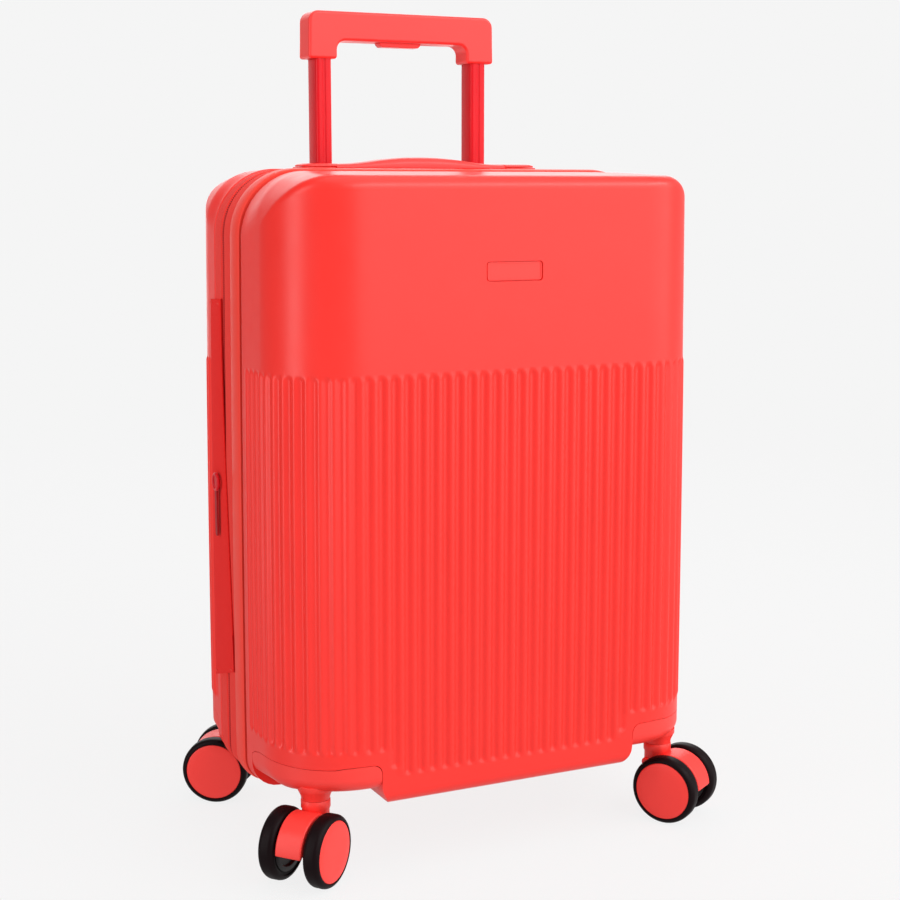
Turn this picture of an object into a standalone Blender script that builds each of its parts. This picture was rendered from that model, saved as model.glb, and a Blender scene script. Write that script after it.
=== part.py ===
"""Hard shell cabin suitcase: lid and rear case, zip bands, telescopic trolley and four twin-wheel casters.

Metres, +Z up.  The origin is on the floor under the middle of the case.  -Y is the front (lid) face,
+Y the back (trolley) face, +X the right-hand side seen from the front.  The lid hinges on the left side.
"""

import math

import bmesh
import bpy
import numpy as np
from mathutils import Matrix, Vector

GAP = 0.0003                    # clearance left between pieces that touch

# Shells, seen from the front
HALF_WIDTH = 0.1797             # half width of each shell at its open edge
WALL = 0.0026                   # shell wall
CROWN = 0.0034                  # how much narrower the half width gets over CROWN_REACH
CROWN_LEVEL, CROWN_REACH = 0.100, 0.380         # the narrowing starts at this height
CROWN_POWER = 1.6
TOP_RADIUS = 0.045              # corner radius in the front view, at the open edge
BOTTOM_RADIUS = 0.022
FACE_RADIUS = 0.010             # edge radius where top and bottom meet the upright faces
SIDE_DRAFT = math.tan(math.radians(1.0))
FILLET_STEPS = 6                # facets round each upright edge

FRONT_EDGE, FRONT_FACE = -0.0145, -0.1180
FRONT_FILLET = 0.064            # upright edge radius of the front shell
FRONT_TOP = (0.5240, 0.5212)    # top height at the open edge and at the face
REAR_EDGE, REAR_FACE = 0.0503, 0.1184
REAR_FILLET = 0.051
REAR_TOP = (0.5262, 0.5244)
BOTTOM = (0.0495, 0.0560)       # bottom height at the open edge and at the face

# Zip bands between the shells
BAND_HALF_WIDTH = 0.1809
BAND_TOP, BAND_BOTTOM = 0.5262, 0.0475
TRIM_FRONT, TRIM_BACK = -0.0095, 0.0115
ZIP_LINE = 0.0298               # where the two zip tapes meet
ZIP_GAP = 0.0006                # half the gap between the tapes
TONGUE, BAND_DEPTH = 0.0068, 0.0080     # outer and inner depth of the tongues inside the shells
TONGUE_REACH = 0.0100           # how far the trim's tongue reaches into the front shell
REAR_TONGUE_REACH = 0.0065
TAPE_OUTER, TAPE_INNER = 0.0010, 0.0030         # depth of the zip tape's two faces

# Caster pockets and housings
POCKET_SIDE = 0.1080            # seam of the housing, inner side
POCKET_TOP = 0.0870
SEAM_RADIUS = 0.0070            # rounded corners of the housing's seam
FRONT_POCKET_EDGE = -0.0280     # end of the front pockets next to the zip
REAR_POCKET_EDGE = 0.0600
RELIEF_RADIUS, RELIEF_TOP = 0.0425, 0.0560      # arch in the rear shell's bottom for the swinging wheels
RELIEF_FLOOR = 0.0400
HOUSING_WALL = 0.0030
PLATE_LEVEL = 0.0645            # underside of the housings
NOTCH_FOOT = 0.0935             # foot of the ramp that runs from the pocket's side down past the bottom
NECK_RADIUS, NECK_BOTTOM, NECK_TOP = 0.0114, 0.0440, 0.0576
COLLAR_RADIUS, COLLAR_BOTTOM = 0.0132, 0.0580
KINGPIN_RADIUS, KINGPIN_TOP = 0.0042, 0.0800
BORE_RADIUS = 0.0047
BOSS_RADIUS, BOSS_TOP = 0.0085, 0.0842

# Casters
STEM_X = 0.15035
FRONT_STEM_Y, REAR_STEM_Y = -0.0884, 0.0942
TRAIL = 0.0169                  # stem axis to axle
TYRE_RADIUS, TYRE_WIDTH = 0.0275, 0.0133
WHEEL_OFFSET = 0.01895          # middle of a wheel from the caster's middle
CAP_RADIUS = 0.0234             # coloured hub cap
HUB_RADIUS = 0.0207
AXLE_RADIUS, AXLE_GAP = 0.0031, 0.0004
FORK_HALF_WIDTH = 0.0108
FORK_SHOULDER = 0.0480          # top of the fork's flat part, under the neck
CASTERS = {                     # name: side, front or rear, turn about the stem in degrees
    "front_left": (-1, -1, 129.86),
    "front_right": (1, -1, 212.64),
    "rear_left": (-1, 1, 58.03),
    "rear_right": (1, 1, -58.03),
}

# Trolley
TUBE_X, TUBE_Y = 0.0698, 0.0972
INNER_TUBE = (0.0069, 0.0105)   # half width and half depth
MID_TUBE = (0.0083, 0.0120)
OUTER_TUBE = (0.0098, 0.0136)
TUBE_WALL, TUBE_CORNER = 0.0011, 0.0035
INNER_TUBE_TOP = 0.6225
GRIP_HALF_WIDTH, GRIP_HALF_DEPTH = 0.0826, 0.0122
GRIP_BOTTOM, GRIP_TOP, BAR_BOTTOM = 0.6150, 0.6530, 0.6298
GRIP_LEG = 0.0242
BUTTON_HALF_WIDTH, BUTTON_HALF_DEPTH = 0.0186, 0.0054
BUTTON_BOTTOM, BUTTON_TOP = 0.6263, 0.6362
BEZEL_TOP, BEZEL_BOTTOM = 0.5282, 0.5110

# Carry handle on top
STRAP_Y, STRAP_HALF_DEPTH = 0.0584, 0.0125
STRAP_HALF_LENGTH = 0.1035
STRAP_END_TOP, STRAP_MID_TOP = 0.5303, 0.5359
STRAP_UNDERSIDE = 0.5267
CAP_X, CAP_HALF_LENGTH = 0.0900, 0.0145
CAP_BOTTOM, CAP_TOP = 0.5265, 0.5277

# Hinge strip on the left side
STRIP_BOTTOM, STRIP_TOP = 0.1230, 0.4270
STRIP_FRONT, STRIP_BACK = 0.0105, 0.0590
STRIP_OUTER, STRIP_INNER = -0.1825, -0.1812

# Linings
LINING_HALF_WIDTH, LINING_TOP, LINING_BOTTOM = 0.1705, 0.5080, 0.0930
LINING_THICKNESS = 0.0012
REAR_LINING_FILLET = 0.047

# Name plate on the front face
PLATE_HALF_WIDTH, PLATE_HALF_HEIGHT, PLATE_CENTRE = 0.0232, 0.0074, 0.4510

# Combination lock on the right side
LOCK_LEVEL, LOCK_HALF_HEIGHT = 0.2960, 0.0340
LOCK_Y, LOCK_HALF_DEPTH = 0.0410, 0.0085
LOCK_BACK, LOCK_FACE = 0.1794, 0.1889
DIAL_RADIUS, DIAL_HALF_THICKNESS = 0.0052, 0.0024
DIAL_PITCH = 0.0080
SLIDER_BACK = 0.1802
ZIP_PARK = 0.0480               # zip sliders rest this far above and below the lock's middle

CORAL = (0.98, 0.10, 0.08)
CORAL_DEEP = (0.85, 0.03, 0.04)
CORAL_LIGHT = (0.98, 0.18, 0.15)


# ---------------------------------------------------------------- helpers

def clear_scene():
    for obj in list(bpy.data.objects):
        bpy.data.objects.remove(obj, do_unlink=True)


def make_material(name, colour, roughness, metallic=0.0):
    material = bpy.data.materials.new(name)
    material.use_nodes = True
    shader = material.node_tree.nodes["Principled BSDF"]
    shader.inputs["Base Color"].default_value = (*colour, 1.0)
    shader.inputs["Roughness"].default_value = roughness
    shader.inputs["Metallic"].default_value = metallic
    material.diffuse_color = (*colour, 1.0)
    return material


def add_object(name, bm, material=None, location=(0, 0, 0), turn=0.0, smooth=30.0):
    """Makes an object from a bmesh, with its normals facing out."""
    bmesh.ops.recalc_face_normals(bm, faces=bm.faces)
    mesh = bpy.data.meshes.new(name)
    bm.to_mesh(mesh)
    bm.free()
    mesh.shade_smooth()
    mesh.set_sharp_from_angle(angle=math.radians(smooth))
    obj = bpy.data.objects.new(name, mesh)
    bpy.context.scene.collection.objects.link(obj)
    obj.location = location
    obj.rotation_euler = (0.0, 0.0, turn)
    if material is not None:
        obj.data.materials.append(material)
    return obj


def cut(target, cutter, operation="DIFFERENCE"):
    """Adds a Boolean modifier and hides its cutter."""
    cutter.hide_render = True
    cutter.display_type = "WIRE"
    modifier = target.modifiers.new(cutter.name, "BOOLEAN")
    modifier.operation = operation
    modifier.solver = "EXACT"
    modifier.object = cutter
    return target


def prism(outline, axis, low, high):
    """A bmesh prism: outline points lie in the plane across the axis, in X, Y, Z order."""
    bm = bmesh.new()
    rings = []
    for level in (low, high):
        ring = []
        for u, v in outline:
            point = {"X": (level, u, v), "Y": (u, level, v), "Z": (u, v, level)}[axis]
            ring.append(bm.verts.new(point))
        rings.append(ring)
    count = len(outline)
    for i in range(count):
        j = (i + 1) % count
        bm.faces.new((rings[0][i], rings[0][j], rings[1][j], rings[1][i]))
    bm.faces.new(reversed(rings[0]))
    bm.faces.new(rings[1])
    return bm


def box(low, high):
    outline = [(low[0], low[1]), (high[0], low[1]), (high[0], high[1]), (low[0], high[1])]
    return prism(outline, "Z", low[2], high[2])


def arc(centre, radius, start, end, steps):
    """Points on an arc in a plane, angles in degrees."""
    points = []
    for k in range(steps + 1):
        angle = math.radians(start + (end - start) * k / steps)
        points.append((centre[0] + radius * math.cos(angle), centre[1] + radius * math.sin(angle)))
    return points


def rounded_rectangle(half_u, half_v, radius, centre=(0.0, 0.0), steps=3):
    points = []
    for k, (su, sv) in enumerate(((1, 1), (-1, 1), (-1, -1), (1, -1))):
        corner = (centre[0] + su * (half_u - radius), centre[1] + sv * (half_v - radius))
        points += arc(corner, radius, 90 * k, 90 * (k + 1), steps)
    return points


def turned(profile, segments):
    """A body turned about Z from (radius, height) points; a radius of 0 closes on the axis."""
    bm = bmesh.new()
    rings = []
    for radius, height in profile:
        if radius == 0:
            rings.append([bm.verts.new((0, 0, height))] * segments)
            continue
        ring = []
        for k in range(segments):
            angle = 2 * math.pi * k / segments
            ring.append(bm.verts.new((radius * math.cos(angle), radius * math.sin(angle), height)))
        rings.append(ring)
    closed = profile[0][0] > 0 and profile[-1][0] > 0
    pairs = list(zip(rings, rings[1:]))
    if closed:
        pairs.append((rings[-1], rings[0]))
    for a, b in pairs:
        for k in range(segments):
            j = (k + 1) % segments
            corners = list(dict.fromkeys((a[k], a[j], b[j], b[k])))
            bm.faces.new(corners)
    return bm


def crowned(x, z):
    """The sides lean in a little above CROWN_LEVEL, more and more towards the top."""
    drop = CROWN * (max(0.0, z - CROWN_LEVEL) / CROWN_REACH) ** CROWN_POWER
    return x * (1.0 - drop / HALF_WIDTH)


# ---------------------------------------------------------------- shells

def plan_columns(half_width, edge, face, fillet, face_points):
    """Plan view of a shell from its right edge round the face to its left edge: (x, y, nx, ny, turn).

    turn runs from 0 on the sides to 1 on the face."""
    toward = math.copysign(1.0, face - edge)
    start = face - toward * fillet
    right = [(half_width, edge, 1.0, 0.0, 0.0)]
    for k in range(FILLET_STEPS + 1):
        angle = math.radians(90.0 * k / FILLET_STEPS)
        nx, ny = math.cos(angle), toward * math.sin(angle)
        right.append((half_width - fillet + fillet * nx, start + fillet * ny, nx, ny, k / FILLET_STEPS))
    right += [(x, face, 0.0, toward, 1.0) for x in face_points]
    left = [(-x, y, -nx, ny, turn) for x, y, nx, ny, turn in reversed(right)]
    return right + left


def corner_rows(x, nx, half_width, corner, soft, arc_steps, curve_steps):
    """Rows where an upright wall turns over into the top or bottom: (way inwards, drop from the flat).

    The wall stands at x with its normal's x part nx.  It meets the corner radius seen from the front
    in a crease rounded by soft."""
    nx, start = abs(nx), half_width - corner
    over = max(0.0, (abs(x) - start) / corner)

    def offset(phi):
        length = math.hypot(math.sin(phi), math.cos(phi) / nx)
        inward = (abs(x) - start - corner * math.sin(phi)) / nx + soft * math.sin(phi) / length
        return inward, length

    phi = 0.0
    if over > 0 and nx > 0.01 and offset(0.0)[0] > soft:
        low, high = 0.0, math.asin(min(1.0, over))
        for _ in range(40):
            middle = (low + high) / 2
            low, high = (middle, high) if offset(middle)[0] > soft else (low, middle)
        phi = (low + high) / 2
    end, level = 90.0, -soft
    if phi > 0:
        length = offset(phi)[1]
        end = math.degrees(math.atan2(math.cos(phi) / nx / length, -math.sin(phi) / length))
        level = -corner * (1 - math.cos(phi)) - soft * math.cos(phi) / nx / length
    path = arc((soft, level), soft, 180, end, 16)
    bend = soft * math.radians(180 - end)
    if phi > 0:
        for k in range(1, 41):
            part = phi * (1 - k / 40)
            path.append(((abs(x) - start - corner * math.sin(part)) / nx, -corner * (1 - math.cos(part))))
    else:
        path.append((soft + FACE_RADIUS, 0.0))
    path = np.array(path)
    run = np.concatenate(([0.0], np.cumsum(np.hypot(*np.diff(path, axis=0).T))))
    split = max(bend, run[-1] * arc_steps / (arc_steps + curve_steps) / 2)
    marks = [split * k / arc_steps for k in range(arc_steps + 1)]
    marks += [split + (run[-1] - split) * k / curve_steps for k in range(1, curve_steps + 1)]
    return [(float(np.interp(m, run, path[:, 0])), float(-np.interp(m, run, path[:, 1]))) for m in marks]


def shell_solid(half_width, edge, face, fillet, top, bottom, inset, reach):
    """A closed block of the shell's outer form, shrunk by inset and carried past the open edge by reach."""
    toward = math.copysign(1.0, face - edge)
    columns = plan_columns(half_width - inset, edge - toward * reach, face - toward * inset,
                           fillet - inset, (0.06,))
    wall_steps = 5
    bm = bmesh.new()
    grid = []
    for x, y, nx, ny, turn in columns:
        share = max(0.0, min(1.0, (y - edge) / (face - edge)))
        narrow = 1.0 - SIDE_DRAFT * abs(face - edge) * share * (1 - turn) / half_width

        def flat(levels, inward):
            part = max(0.0, min(1.0, (y - ny * inward - edge) / (face - edge)))
            return levels[0] + (levels[1] - levels[0]) * part

        size = (x, nx, half_width - inset)
        under = corner_rows(*size, BOTTOM_RADIUS - inset, FACE_RADIUS - inset, 2, 3)
        over = corner_rows(*size, TOP_RADIUS - inset, FACE_RADIUS - inset, 3, 4)
        rows = [(d, flat(bottom, d) + inset + drop) for d, drop in reversed(under)]
        rows_over = [(d, flat(top, d) - inset - drop) for d, drop in over]
        floor, ceiling = rows[-1][1], rows_over[0][1]
        rows += [(0.0, floor + (ceiling - floor) * k / wall_steps) for k in range(1, wall_steps)]
        column = []
        for inward, z in rows + rows_over:
            px = (x - nx * inward) * narrow
            column.append(bm.verts.new((crowned(px, z), y - ny * inward, z)))
        grid.append(column)
    last = len(grid) - 1
    rows = len(grid[0])
    for i in range(last):
        for j in range(rows - 1):
            bm.faces.new((grid[i][j], grid[i + 1][j], grid[i + 1][j + 1], grid[i][j + 1]))
    face_start = FILLET_STEPS
    for j in (0, rows - 1):
        for i in range(face_start):
            bm.faces.new((grid[i][j], grid[i + 1][j], grid[last - 1 - i][j], grid[last - i][j]))
        bm.faces.new([grid[i][j] for i in range(face_start, last - face_start + 1)])
    for j in range(rows - 1):
        bm.faces.new((grid[0][j], grid[0][j + 1], grid[last][j + 1], grid[last][j]))
    return bm


def pocket_outline(side, grow, floor):
    """The caster pocket seen from the front: seam side, seam top, and a ramp to the shell's bottom."""
    outer, ramp_top = 0.21, PLATE_LEVEL + 0.001
    inner = POCKET_SIDE - grow
    top = POCKET_TOP + grow
    points = [(outer, floor), (outer, top)]
    points += arc((inner + SEAM_RADIUS, top - SEAM_RADIUS), SEAM_RADIUS, 90, 180, 3)
    points += [(inner, ramp_top), (NOTCH_FOOT - grow, floor)]
    return [(side * u, v) for u, v in points]


def pocket(side, front, grow):
    """A solid that cuts one caster pocket, open at the bottom and outwards."""
    near = FRONT_POCKET_EDGE + grow if front else REAR_POCKET_EDGE - grow
    far = math.copysign(0.13, near)
    return prism(pocket_outline(side, grow, 0.040), "Y", min(near, far), max(near, far))


def make_shell(name, material, edge, face, fillet, top, front):
    sizes = (HALF_WIDTH, edge, face, fillet, top, BOTTOM)
    shell = add_object(name, shell_solid(*sizes, 0.0, 0.0), material)
    cavity = add_object(name + "_cavity", shell_solid(*sizes, WALL, 0.004))
    for side in (-1, 1):
        tag = f"{name}_{'left' if side < 0 else 'right'}"
        cut(cavity, add_object(tag + "_pocket_wall", pocket(side, front, WALL)))
        cut(shell, add_object(tag + "_pocket", pocket(side, front, 0.0)))
        if not front:
            relief = turned([(0, RELIEF_FLOOR), (RELIEF_RADIUS, RELIEF_FLOOR),
                             (RELIEF_RADIUS, RELIEF_TOP), (0, RELIEF_TOP)], 32)
            cut(shell, add_object(tag + "_relief", relief, location=(side * STEM_X, REAR_STEM_Y, 0)))
    cut(shell, cavity)
    return shell


def make_housing(name, material, side, front):
    """Corner housing of a caster: outer skin, underside, collar and a boss with the kingpin's bore."""
    edge, face = (FRONT_EDGE, FRONT_FACE) if front else (REAR_EDGE, REAR_FACE)
    fillet = FRONT_FILLET if front else REAR_FILLET
    top = FRONT_TOP if front else REAR_TOP
    stem = (side * STEM_X, FRONT_STEM_Y if front else REAR_STEM_Y, 0.0)
    inner, outer = POCKET_SIDE + GAP, 0.2
    near = FRONT_POCKET_EDGE - GAP if front else REAR_POCKET_EDGE + GAP
    far = math.copysign(0.13, near)
    housing_top = POCKET_TOP - GAP
    outline = [(outer, PLATE_LEVEL), (outer, housing_top)]
    outline += arc((inner + SEAM_RADIUS, housing_top - SEAM_RADIUS), SEAM_RADIUS, 90, 180, 3)
    outline += arc((inner + SEAM_RADIUS, PLATE_LEVEL + SEAM_RADIUS), SEAM_RADIUS, 180, 270, 3)
    outline = [(side * u, v) for u, v in outline]
    housing = add_object(name, prism(outline, "Y", min(near, far), max(near, far)), material)
    sizes = (HALF_WIDTH, edge, face, fillet, top, BOTTOM)
    cut(housing, add_object(name + "_form", shell_solid(*sizes, 0.0, 0.02)), "INTERSECT")

    wall, roof = HOUSING_WALL, 0.095
    floor = PLATE_LEVEL + wall
    hollow = [(inner + wall, floor), (outer, floor), (outer, roof), (inner + wall, roof)]
    hollow = [(side * u, v) for u, v in hollow]
    cavity = add_object(name + "_hollow", prism(hollow, "Y", min(near, far) + wall, max(near, far) - wall))
    cut(cavity, add_object(name + "_inside", shell_solid(*sizes, wall, 0.02)), "INTERSECT")
    cut(housing, cavity)

    chamfer = 0.0008
    boss = [(0, COLLAR_BOTTOM), (COLLAR_RADIUS - chamfer, COLLAR_BOTTOM),
            (COLLAR_RADIUS, COLLAR_BOTTOM + chamfer), (COLLAR_RADIUS, PLATE_LEVEL + GAP),
            (BOSS_RADIUS, PLATE_LEVEL + 0.0015), (BOSS_RADIUS, BOSS_TOP), (0, BOSS_TOP)]
    cut(housing, add_object(name + "_boss", turned(boss, 20), location=stem), "UNION")
    bore = [(0, 0.050), (BORE_RADIUS, 0.050), (BORE_RADIUS, roof), (0, roof)]
    cut(housing, add_object(name + "_bore", turned(bore, 16), location=stem))
    return housing


# ---------------------------------------------------------------- zip bands

def front_view_outline(inset, corner_steps=4, side_steps=5):
    """Rounded rectangle of the bands in the front view, with outward normals: (x, z, nx, nz)."""
    half, top, bottom = BAND_HALF_WIDTH - inset, BAND_TOP - inset, BAND_BOTTOM + inset
    corners = ((1, top, TOP_RADIUS, 0), (-1, top, TOP_RADIUS, 90),
               (-1, bottom, BOTTOM_RADIUS, 180), (1, bottom, BOTTOM_RADIUS, 270))
    points = []
    for side, level, radius, start in corners:
        radius -= inset
        vertical = 1 if level == top else -1
        centre = (side * (half - radius), level - vertical * radius)
        for k in range(corner_steps + 1):
            angle = math.radians(start + 90 * k / corner_steps)
            nx, nz = math.cos(angle), math.sin(angle)
            points.append((centre[0] + radius * nx, centre[1] + radius * nz, nx, nz))
    dense = []
    for k, point in enumerate(points):
        dense.append(point)
        after = points[(k + 1) % len(points)]
        if abs(point[0] - after[0]) < 1e-9 and abs(point[1] - after[1]) > 0.1:
            for step in range(1, side_steps):
                share = step / side_steps
                dense.append((point[0], point[1] + (after[1] - point[1]) * share, point[2], 0.0))
    return dense


def band(section):
    """A closed ring: a (y, depth) section swept round the case, depth measured inwards."""
    bm = bmesh.new()
    outline = front_view_outline(0.0)
    rings = []
    for x, z, nx, nz in outline:
        ring = []
        for y, depth in section:
            px, pz = x - nx * depth, z - nz * depth
            ring.append(bm.verts.new((crowned(px, pz), y, pz)))
        rings.append(ring)
    for k, ring in enumerate(rings):
        after = rings[(k + 1) % len(rings)]
        for j in range(len(section)):
            i = (j + 1) % len(section)
            bm.faces.new((ring[j], ring[i], after[i], after[j]))
    return bm


def make_bands(trim_material, tape_material):
    soft = 0.0015
    tongue_end = FRONT_EDGE - TONGUE_REACH
    trim = [(TRIM_FRONT, soft), (TRIM_FRONT + soft, 0.0), (TRIM_BACK - soft, 0.0), (TRIM_BACK, soft),
            (TRIM_BACK, BAND_DEPTH), (tongue_end, BAND_DEPTH), (tongue_end, TONGUE), (TRIM_FRONT, TONGUE)]
    add_object("front_trim", band(trim), trim_material)
    low, high = TRIM_BACK + GAP, ZIP_LINE - ZIP_GAP
    front = [(low, TAPE_OUTER), (high, TAPE_OUTER), (high, TAPE_INNER), (low, TAPE_INNER)]
    add_object("front_zip_band", band(front), tape_material)
    low, high, tongue_end = ZIP_LINE + ZIP_GAP, REAR_EDGE - GAP, REAR_EDGE + REAR_TONGUE_REACH
    rear = [(low, TAPE_OUTER), (high, TAPE_OUTER), (high, TONGUE),
            (tongue_end, TONGUE), (tongue_end, BAND_DEPTH), (low, BAND_DEPTH)]
    add_object("rear_zip_band", band(rear), tape_material)


def make_hinge_strip(material):
    """Fabric strip over the zip line on the left side, in two halves that meet on the hinge."""
    for name, low, high in (("hinge_strip_lid", STRIP_FRONT, ZIP_LINE - 0.0003),
                            ("hinge_strip_case", ZIP_LINE + 0.0003, STRIP_BACK)):
        add_object(name, box((STRIP_OUTER, low, STRIP_BOTTOM), (STRIP_INNER, high, STRIP_TOP)), material)


# ---------------------------------------------------------------- front details

def make_name_plate(material, shell):
    """Plain plate with a raised rim, set in a shallow recess of the front face."""
    centre, corner = (0.0, PLATE_CENTRE), 0.0026
    recess = rounded_rectangle(PLATE_HALF_WIDTH, PLATE_HALF_HEIGHT, corner, centre)
    cut(shell, add_object("name_plate_recess", prism(recess, "Y", FRONT_FACE - 0.002, FRONT_FACE + 0.0013)))
    outline = rounded_rectangle(PLATE_HALF_WIDTH - GAP, PLATE_HALF_HEIGHT - GAP, corner - GAP, centre)
    bm = prism(outline, "Y", FRONT_FACE + 0.0001, FRONT_FACE + 0.0010)
    front = [f for f in bm.faces if all(v.co.y < FRONT_FACE + 0.0005 for v in f.verts)]
    bmesh.ops.recalc_face_normals(bm, faces=bm.faces)
    bmesh.ops.inset_region(bm, faces=front, thickness=0.0010)
    bmesh.ops.translate(bm, verts=front[0].verts, vec=(0, 0.0004, 0))
    add_object("name_plate", bm, material)


# ---------------------------------------------------------------- linings and strap

def make_lining(name, material, edge, face, fillet, top):
    """Fabric lining: a thin open tray inside a shell, above the caster pockets."""
    sizes = (LINING_HALF_WIDTH, edge, face, fillet, (top, top), (LINING_BOTTOM, LINING_BOTTOM))
    lining = add_object(name, shell_solid(*sizes, 0.0, 0.0), material)
    cut(lining, add_object(name + "_inside", shell_solid(*sizes, LINING_THICKNESS, 0.005)))
    return lining


def make_packing_strap(material):
    """Crossed elastic straps with a buckle plate where they meet, lying over the rear compartment."""
    half, thick, y = 0.0125, 0.0012, 0.0335
    reach_x, reach_z = 0.120, 0.160
    centre = Vector((0, 0, 0.300))
    first = None
    for k, tilt in enumerate((1, -1)):
        along = Vector((reach_x, 0, tilt * reach_z))
        across = Vector((-along.z, 0, along.x)).normalized() * half
        corners = [centre + along + across, centre - along + across,
                   centre - along - across, centre + along - across]
        bm = prism([(c.x, c.z) for c in corners], "Y", y, y + thick)
        if first is None:
            first = add_object("packing_strap", bm, material)
        else:
            cut(first, add_object("packing_strap_cross", bm), "UNION")
    plate = rounded_rectangle(0.026, 0.020, 0.006, (0.0, centre.z))
    cut(first, add_object("packing_strap_buckle", prism(plate, "Y", y - 0.0008, y + 0.004)), "UNION")
    return first


# ---------------------------------------------------------------- carry handle

def make_carry_strap(material):
    """Flexible handle lying on the case: flat underneath, arched on top, its ends over the two caps."""
    steps = 12
    upper = []
    for k in range(steps + 1):
        share = -1 + 2 * k / steps
        rise = math.cos(share * math.pi / 2) ** 2
        level = STRAP_END_TOP + (STRAP_MID_TOP - STRAP_END_TOP) * rise
        upper.append((share * STRAP_HALF_LENGTH, level))
    inner = CAP_X - CAP_HALF_LENGTH - GAP
    over_cap = CAP_TOP + GAP
    lower = [(STRAP_HALF_LENGTH, over_cap), (inner, over_cap), (inner, STRAP_UNDERSIDE),
             (-inner, STRAP_UNDERSIDE), (-inner, over_cap), (-STRAP_HALF_LENGTH, over_cap)]
    bm = prism(upper + lower, "Y", STRAP_Y - STRAP_HALF_DEPTH, STRAP_Y + STRAP_HALF_DEPTH)
    add_object("carry_strap", bm, material)


def make_handle_caps(material):
    half_depth = STRAP_HALF_DEPTH + 0.0012
    for side, name in ((-1, "handle_cap_left"), (1, "handle_cap_right")):
        outline = rounded_rectangle(CAP_HALF_LENGTH, half_depth, 0.004, (side * CAP_X, STRAP_Y))
        add_object(name, prism(outline, "Z", CAP_BOTTOM, CAP_TOP), material)


# ---------------------------------------------------------------- trolley

def tube(half, wall, bottom, top, x):
    """Rounded rectangular tube, open at both ends."""
    outer = rounded_rectangle(half[0], half[1], TUBE_CORNER, (x, TUBE_Y), 2)
    inner = rounded_rectangle(half[0] - wall, half[1] - wall, TUBE_CORNER - wall, (x, TUBE_Y), 2)
    bm = bmesh.new()
    rings = []
    for outline, level in ((outer, bottom), (outer, top), (inner, top), (inner, bottom)):
        rings.append([bm.verts.new((u, v, level)) for u, v in outline])
    for a, b in zip(rings, rings[1:] + rings[:1]):
        for k in range(len(a)):
            j = (k + 1) % len(a)
            bm.faces.new((a[k], a[j], b[j], b[k]))
    return bm


def make_tubes(material):
    for side, tag in ((-1, "left"), (1, "right")):
        x = side * TUBE_X
        for name, half, bottom, top in (("outer_tube_", OUTER_TUBE, 0.0660, BEZEL_BOTTOM - GAP),
                                        ("mid_tube_", MID_TUBE, 0.0720, 0.5285),
                                        ("inner_tube_", INNER_TUBE, 0.1600, INNER_TUBE_TOP)):
            add_object(name + tag, tube(half, TUBE_WALL, bottom, top, x), material)


def make_bezel(material, shell):
    """Moulded collar on the top edge of the rear shell that both trolley tubes slide through."""
    half_width, half_depth, corner, centre = 0.0920, 0.0160, 0.005, (0.0, TUBE_Y)
    outline = rounded_rectangle(half_width, half_depth, corner, centre)
    hole = rounded_rectangle(half_width + GAP, half_depth + GAP, corner, centre)
    cut(shell, add_object("bezel_seat", prism(hole, "Z", BEZEL_BOTTOM - 0.002, 0.54)))
    bezel = add_object("trolley_bezel", prism(outline, "Z", BEZEL_BOTTOM, BEZEL_TOP), material)
    for side in (-1, 1):
        centre = (side * TUBE_X, TUBE_Y)
        slot = rounded_rectangle(MID_TUBE[0] + GAP, MID_TUBE[1] + GAP, TUBE_CORNER, centre, 2)
        cut(bezel, add_object(f"bezel_slot_{side}", prism(slot, "Z", 0.50, 0.54)))
    return bezel


def make_grip(material, button_material):
    """Pull grip: a bar with two legs that hold the inner tubes, and a push button under the bar."""
    radius, inner_radius = 0.0085, 0.007
    inside = GRIP_HALF_WIDTH - GRIP_LEG
    right = [(GRIP_HALF_WIDTH + 0.0006, GRIP_BOTTOM)]
    right += arc((GRIP_HALF_WIDTH - radius, GRIP_TOP - radius), radius, 0, 90, 4)
    right_inner = arc((inside - inner_radius, BAR_BOTTOM - inner_radius), inner_radius, 90, 0, 3)
    left = [(-u, v) for u, v in reversed(right)]
    left_inner = [(-u, v) for u, v in reversed(right_inner)]
    under = [(-inside, GRIP_BOTTOM)] + left_inner + right_inner + [(inside, GRIP_BOTTOM)]
    outline = right + left + under
    low, high = TUBE_Y - GRIP_HALF_DEPTH, TUBE_Y + GRIP_HALF_DEPTH
    grip = add_object("trolley_grip", prism(outline, "Y", low, high), material)
    bevel = grip.modifiers.new("soft_edges", "BEVEL")
    bevel.width = 0.0022
    bevel.segments = 2
    bevel.limit_method = "ANGLE"
    bevel.angle_limit = math.radians(60)
    for side in (-1, 1):
        centre = (side * TUBE_X, TUBE_Y)
        socket = rounded_rectangle(INNER_TUBE[0] + GAP, INNER_TUBE[1] + GAP, TUBE_CORNER, centre, 2)
        cut(grip, add_object(f"grip_socket_{side}", prism(socket, "Z", 0.60, INNER_TUBE_TOP + GAP)))
    pocket_box = box((-BUTTON_HALF_WIDTH - GAP, TUBE_Y - BUTTON_HALF_DEPTH - GAP, 0.62),
                     (BUTTON_HALF_WIDTH + GAP, TUBE_Y + BUTTON_HALF_DEPTH + GAP, BUTTON_TOP + 0.0046))
    cut(grip, add_object("button_pocket", pocket_box))
    edge = 0.0022
    shape = [(-BUTTON_HALF_WIDTH, BUTTON_TOP), (-BUTTON_HALF_WIDTH, BUTTON_BOTTOM + edge),
             (-BUTTON_HALF_WIDTH + edge, BUTTON_BOTTOM), (BUTTON_HALF_WIDTH - edge, BUTTON_BOTTOM),
             (BUTTON_HALF_WIDTH, BUTTON_BOTTOM + edge), (BUTTON_HALF_WIDTH, BUTTON_TOP)]
    add_object("grip_button", prism(shape, "Y", TUBE_Y - BUTTON_HALF_DEPTH, TUBE_Y + BUTTON_HALF_DEPTH),
               button_material)


# ---------------------------------------------------------------- lock and zip sliders

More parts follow.
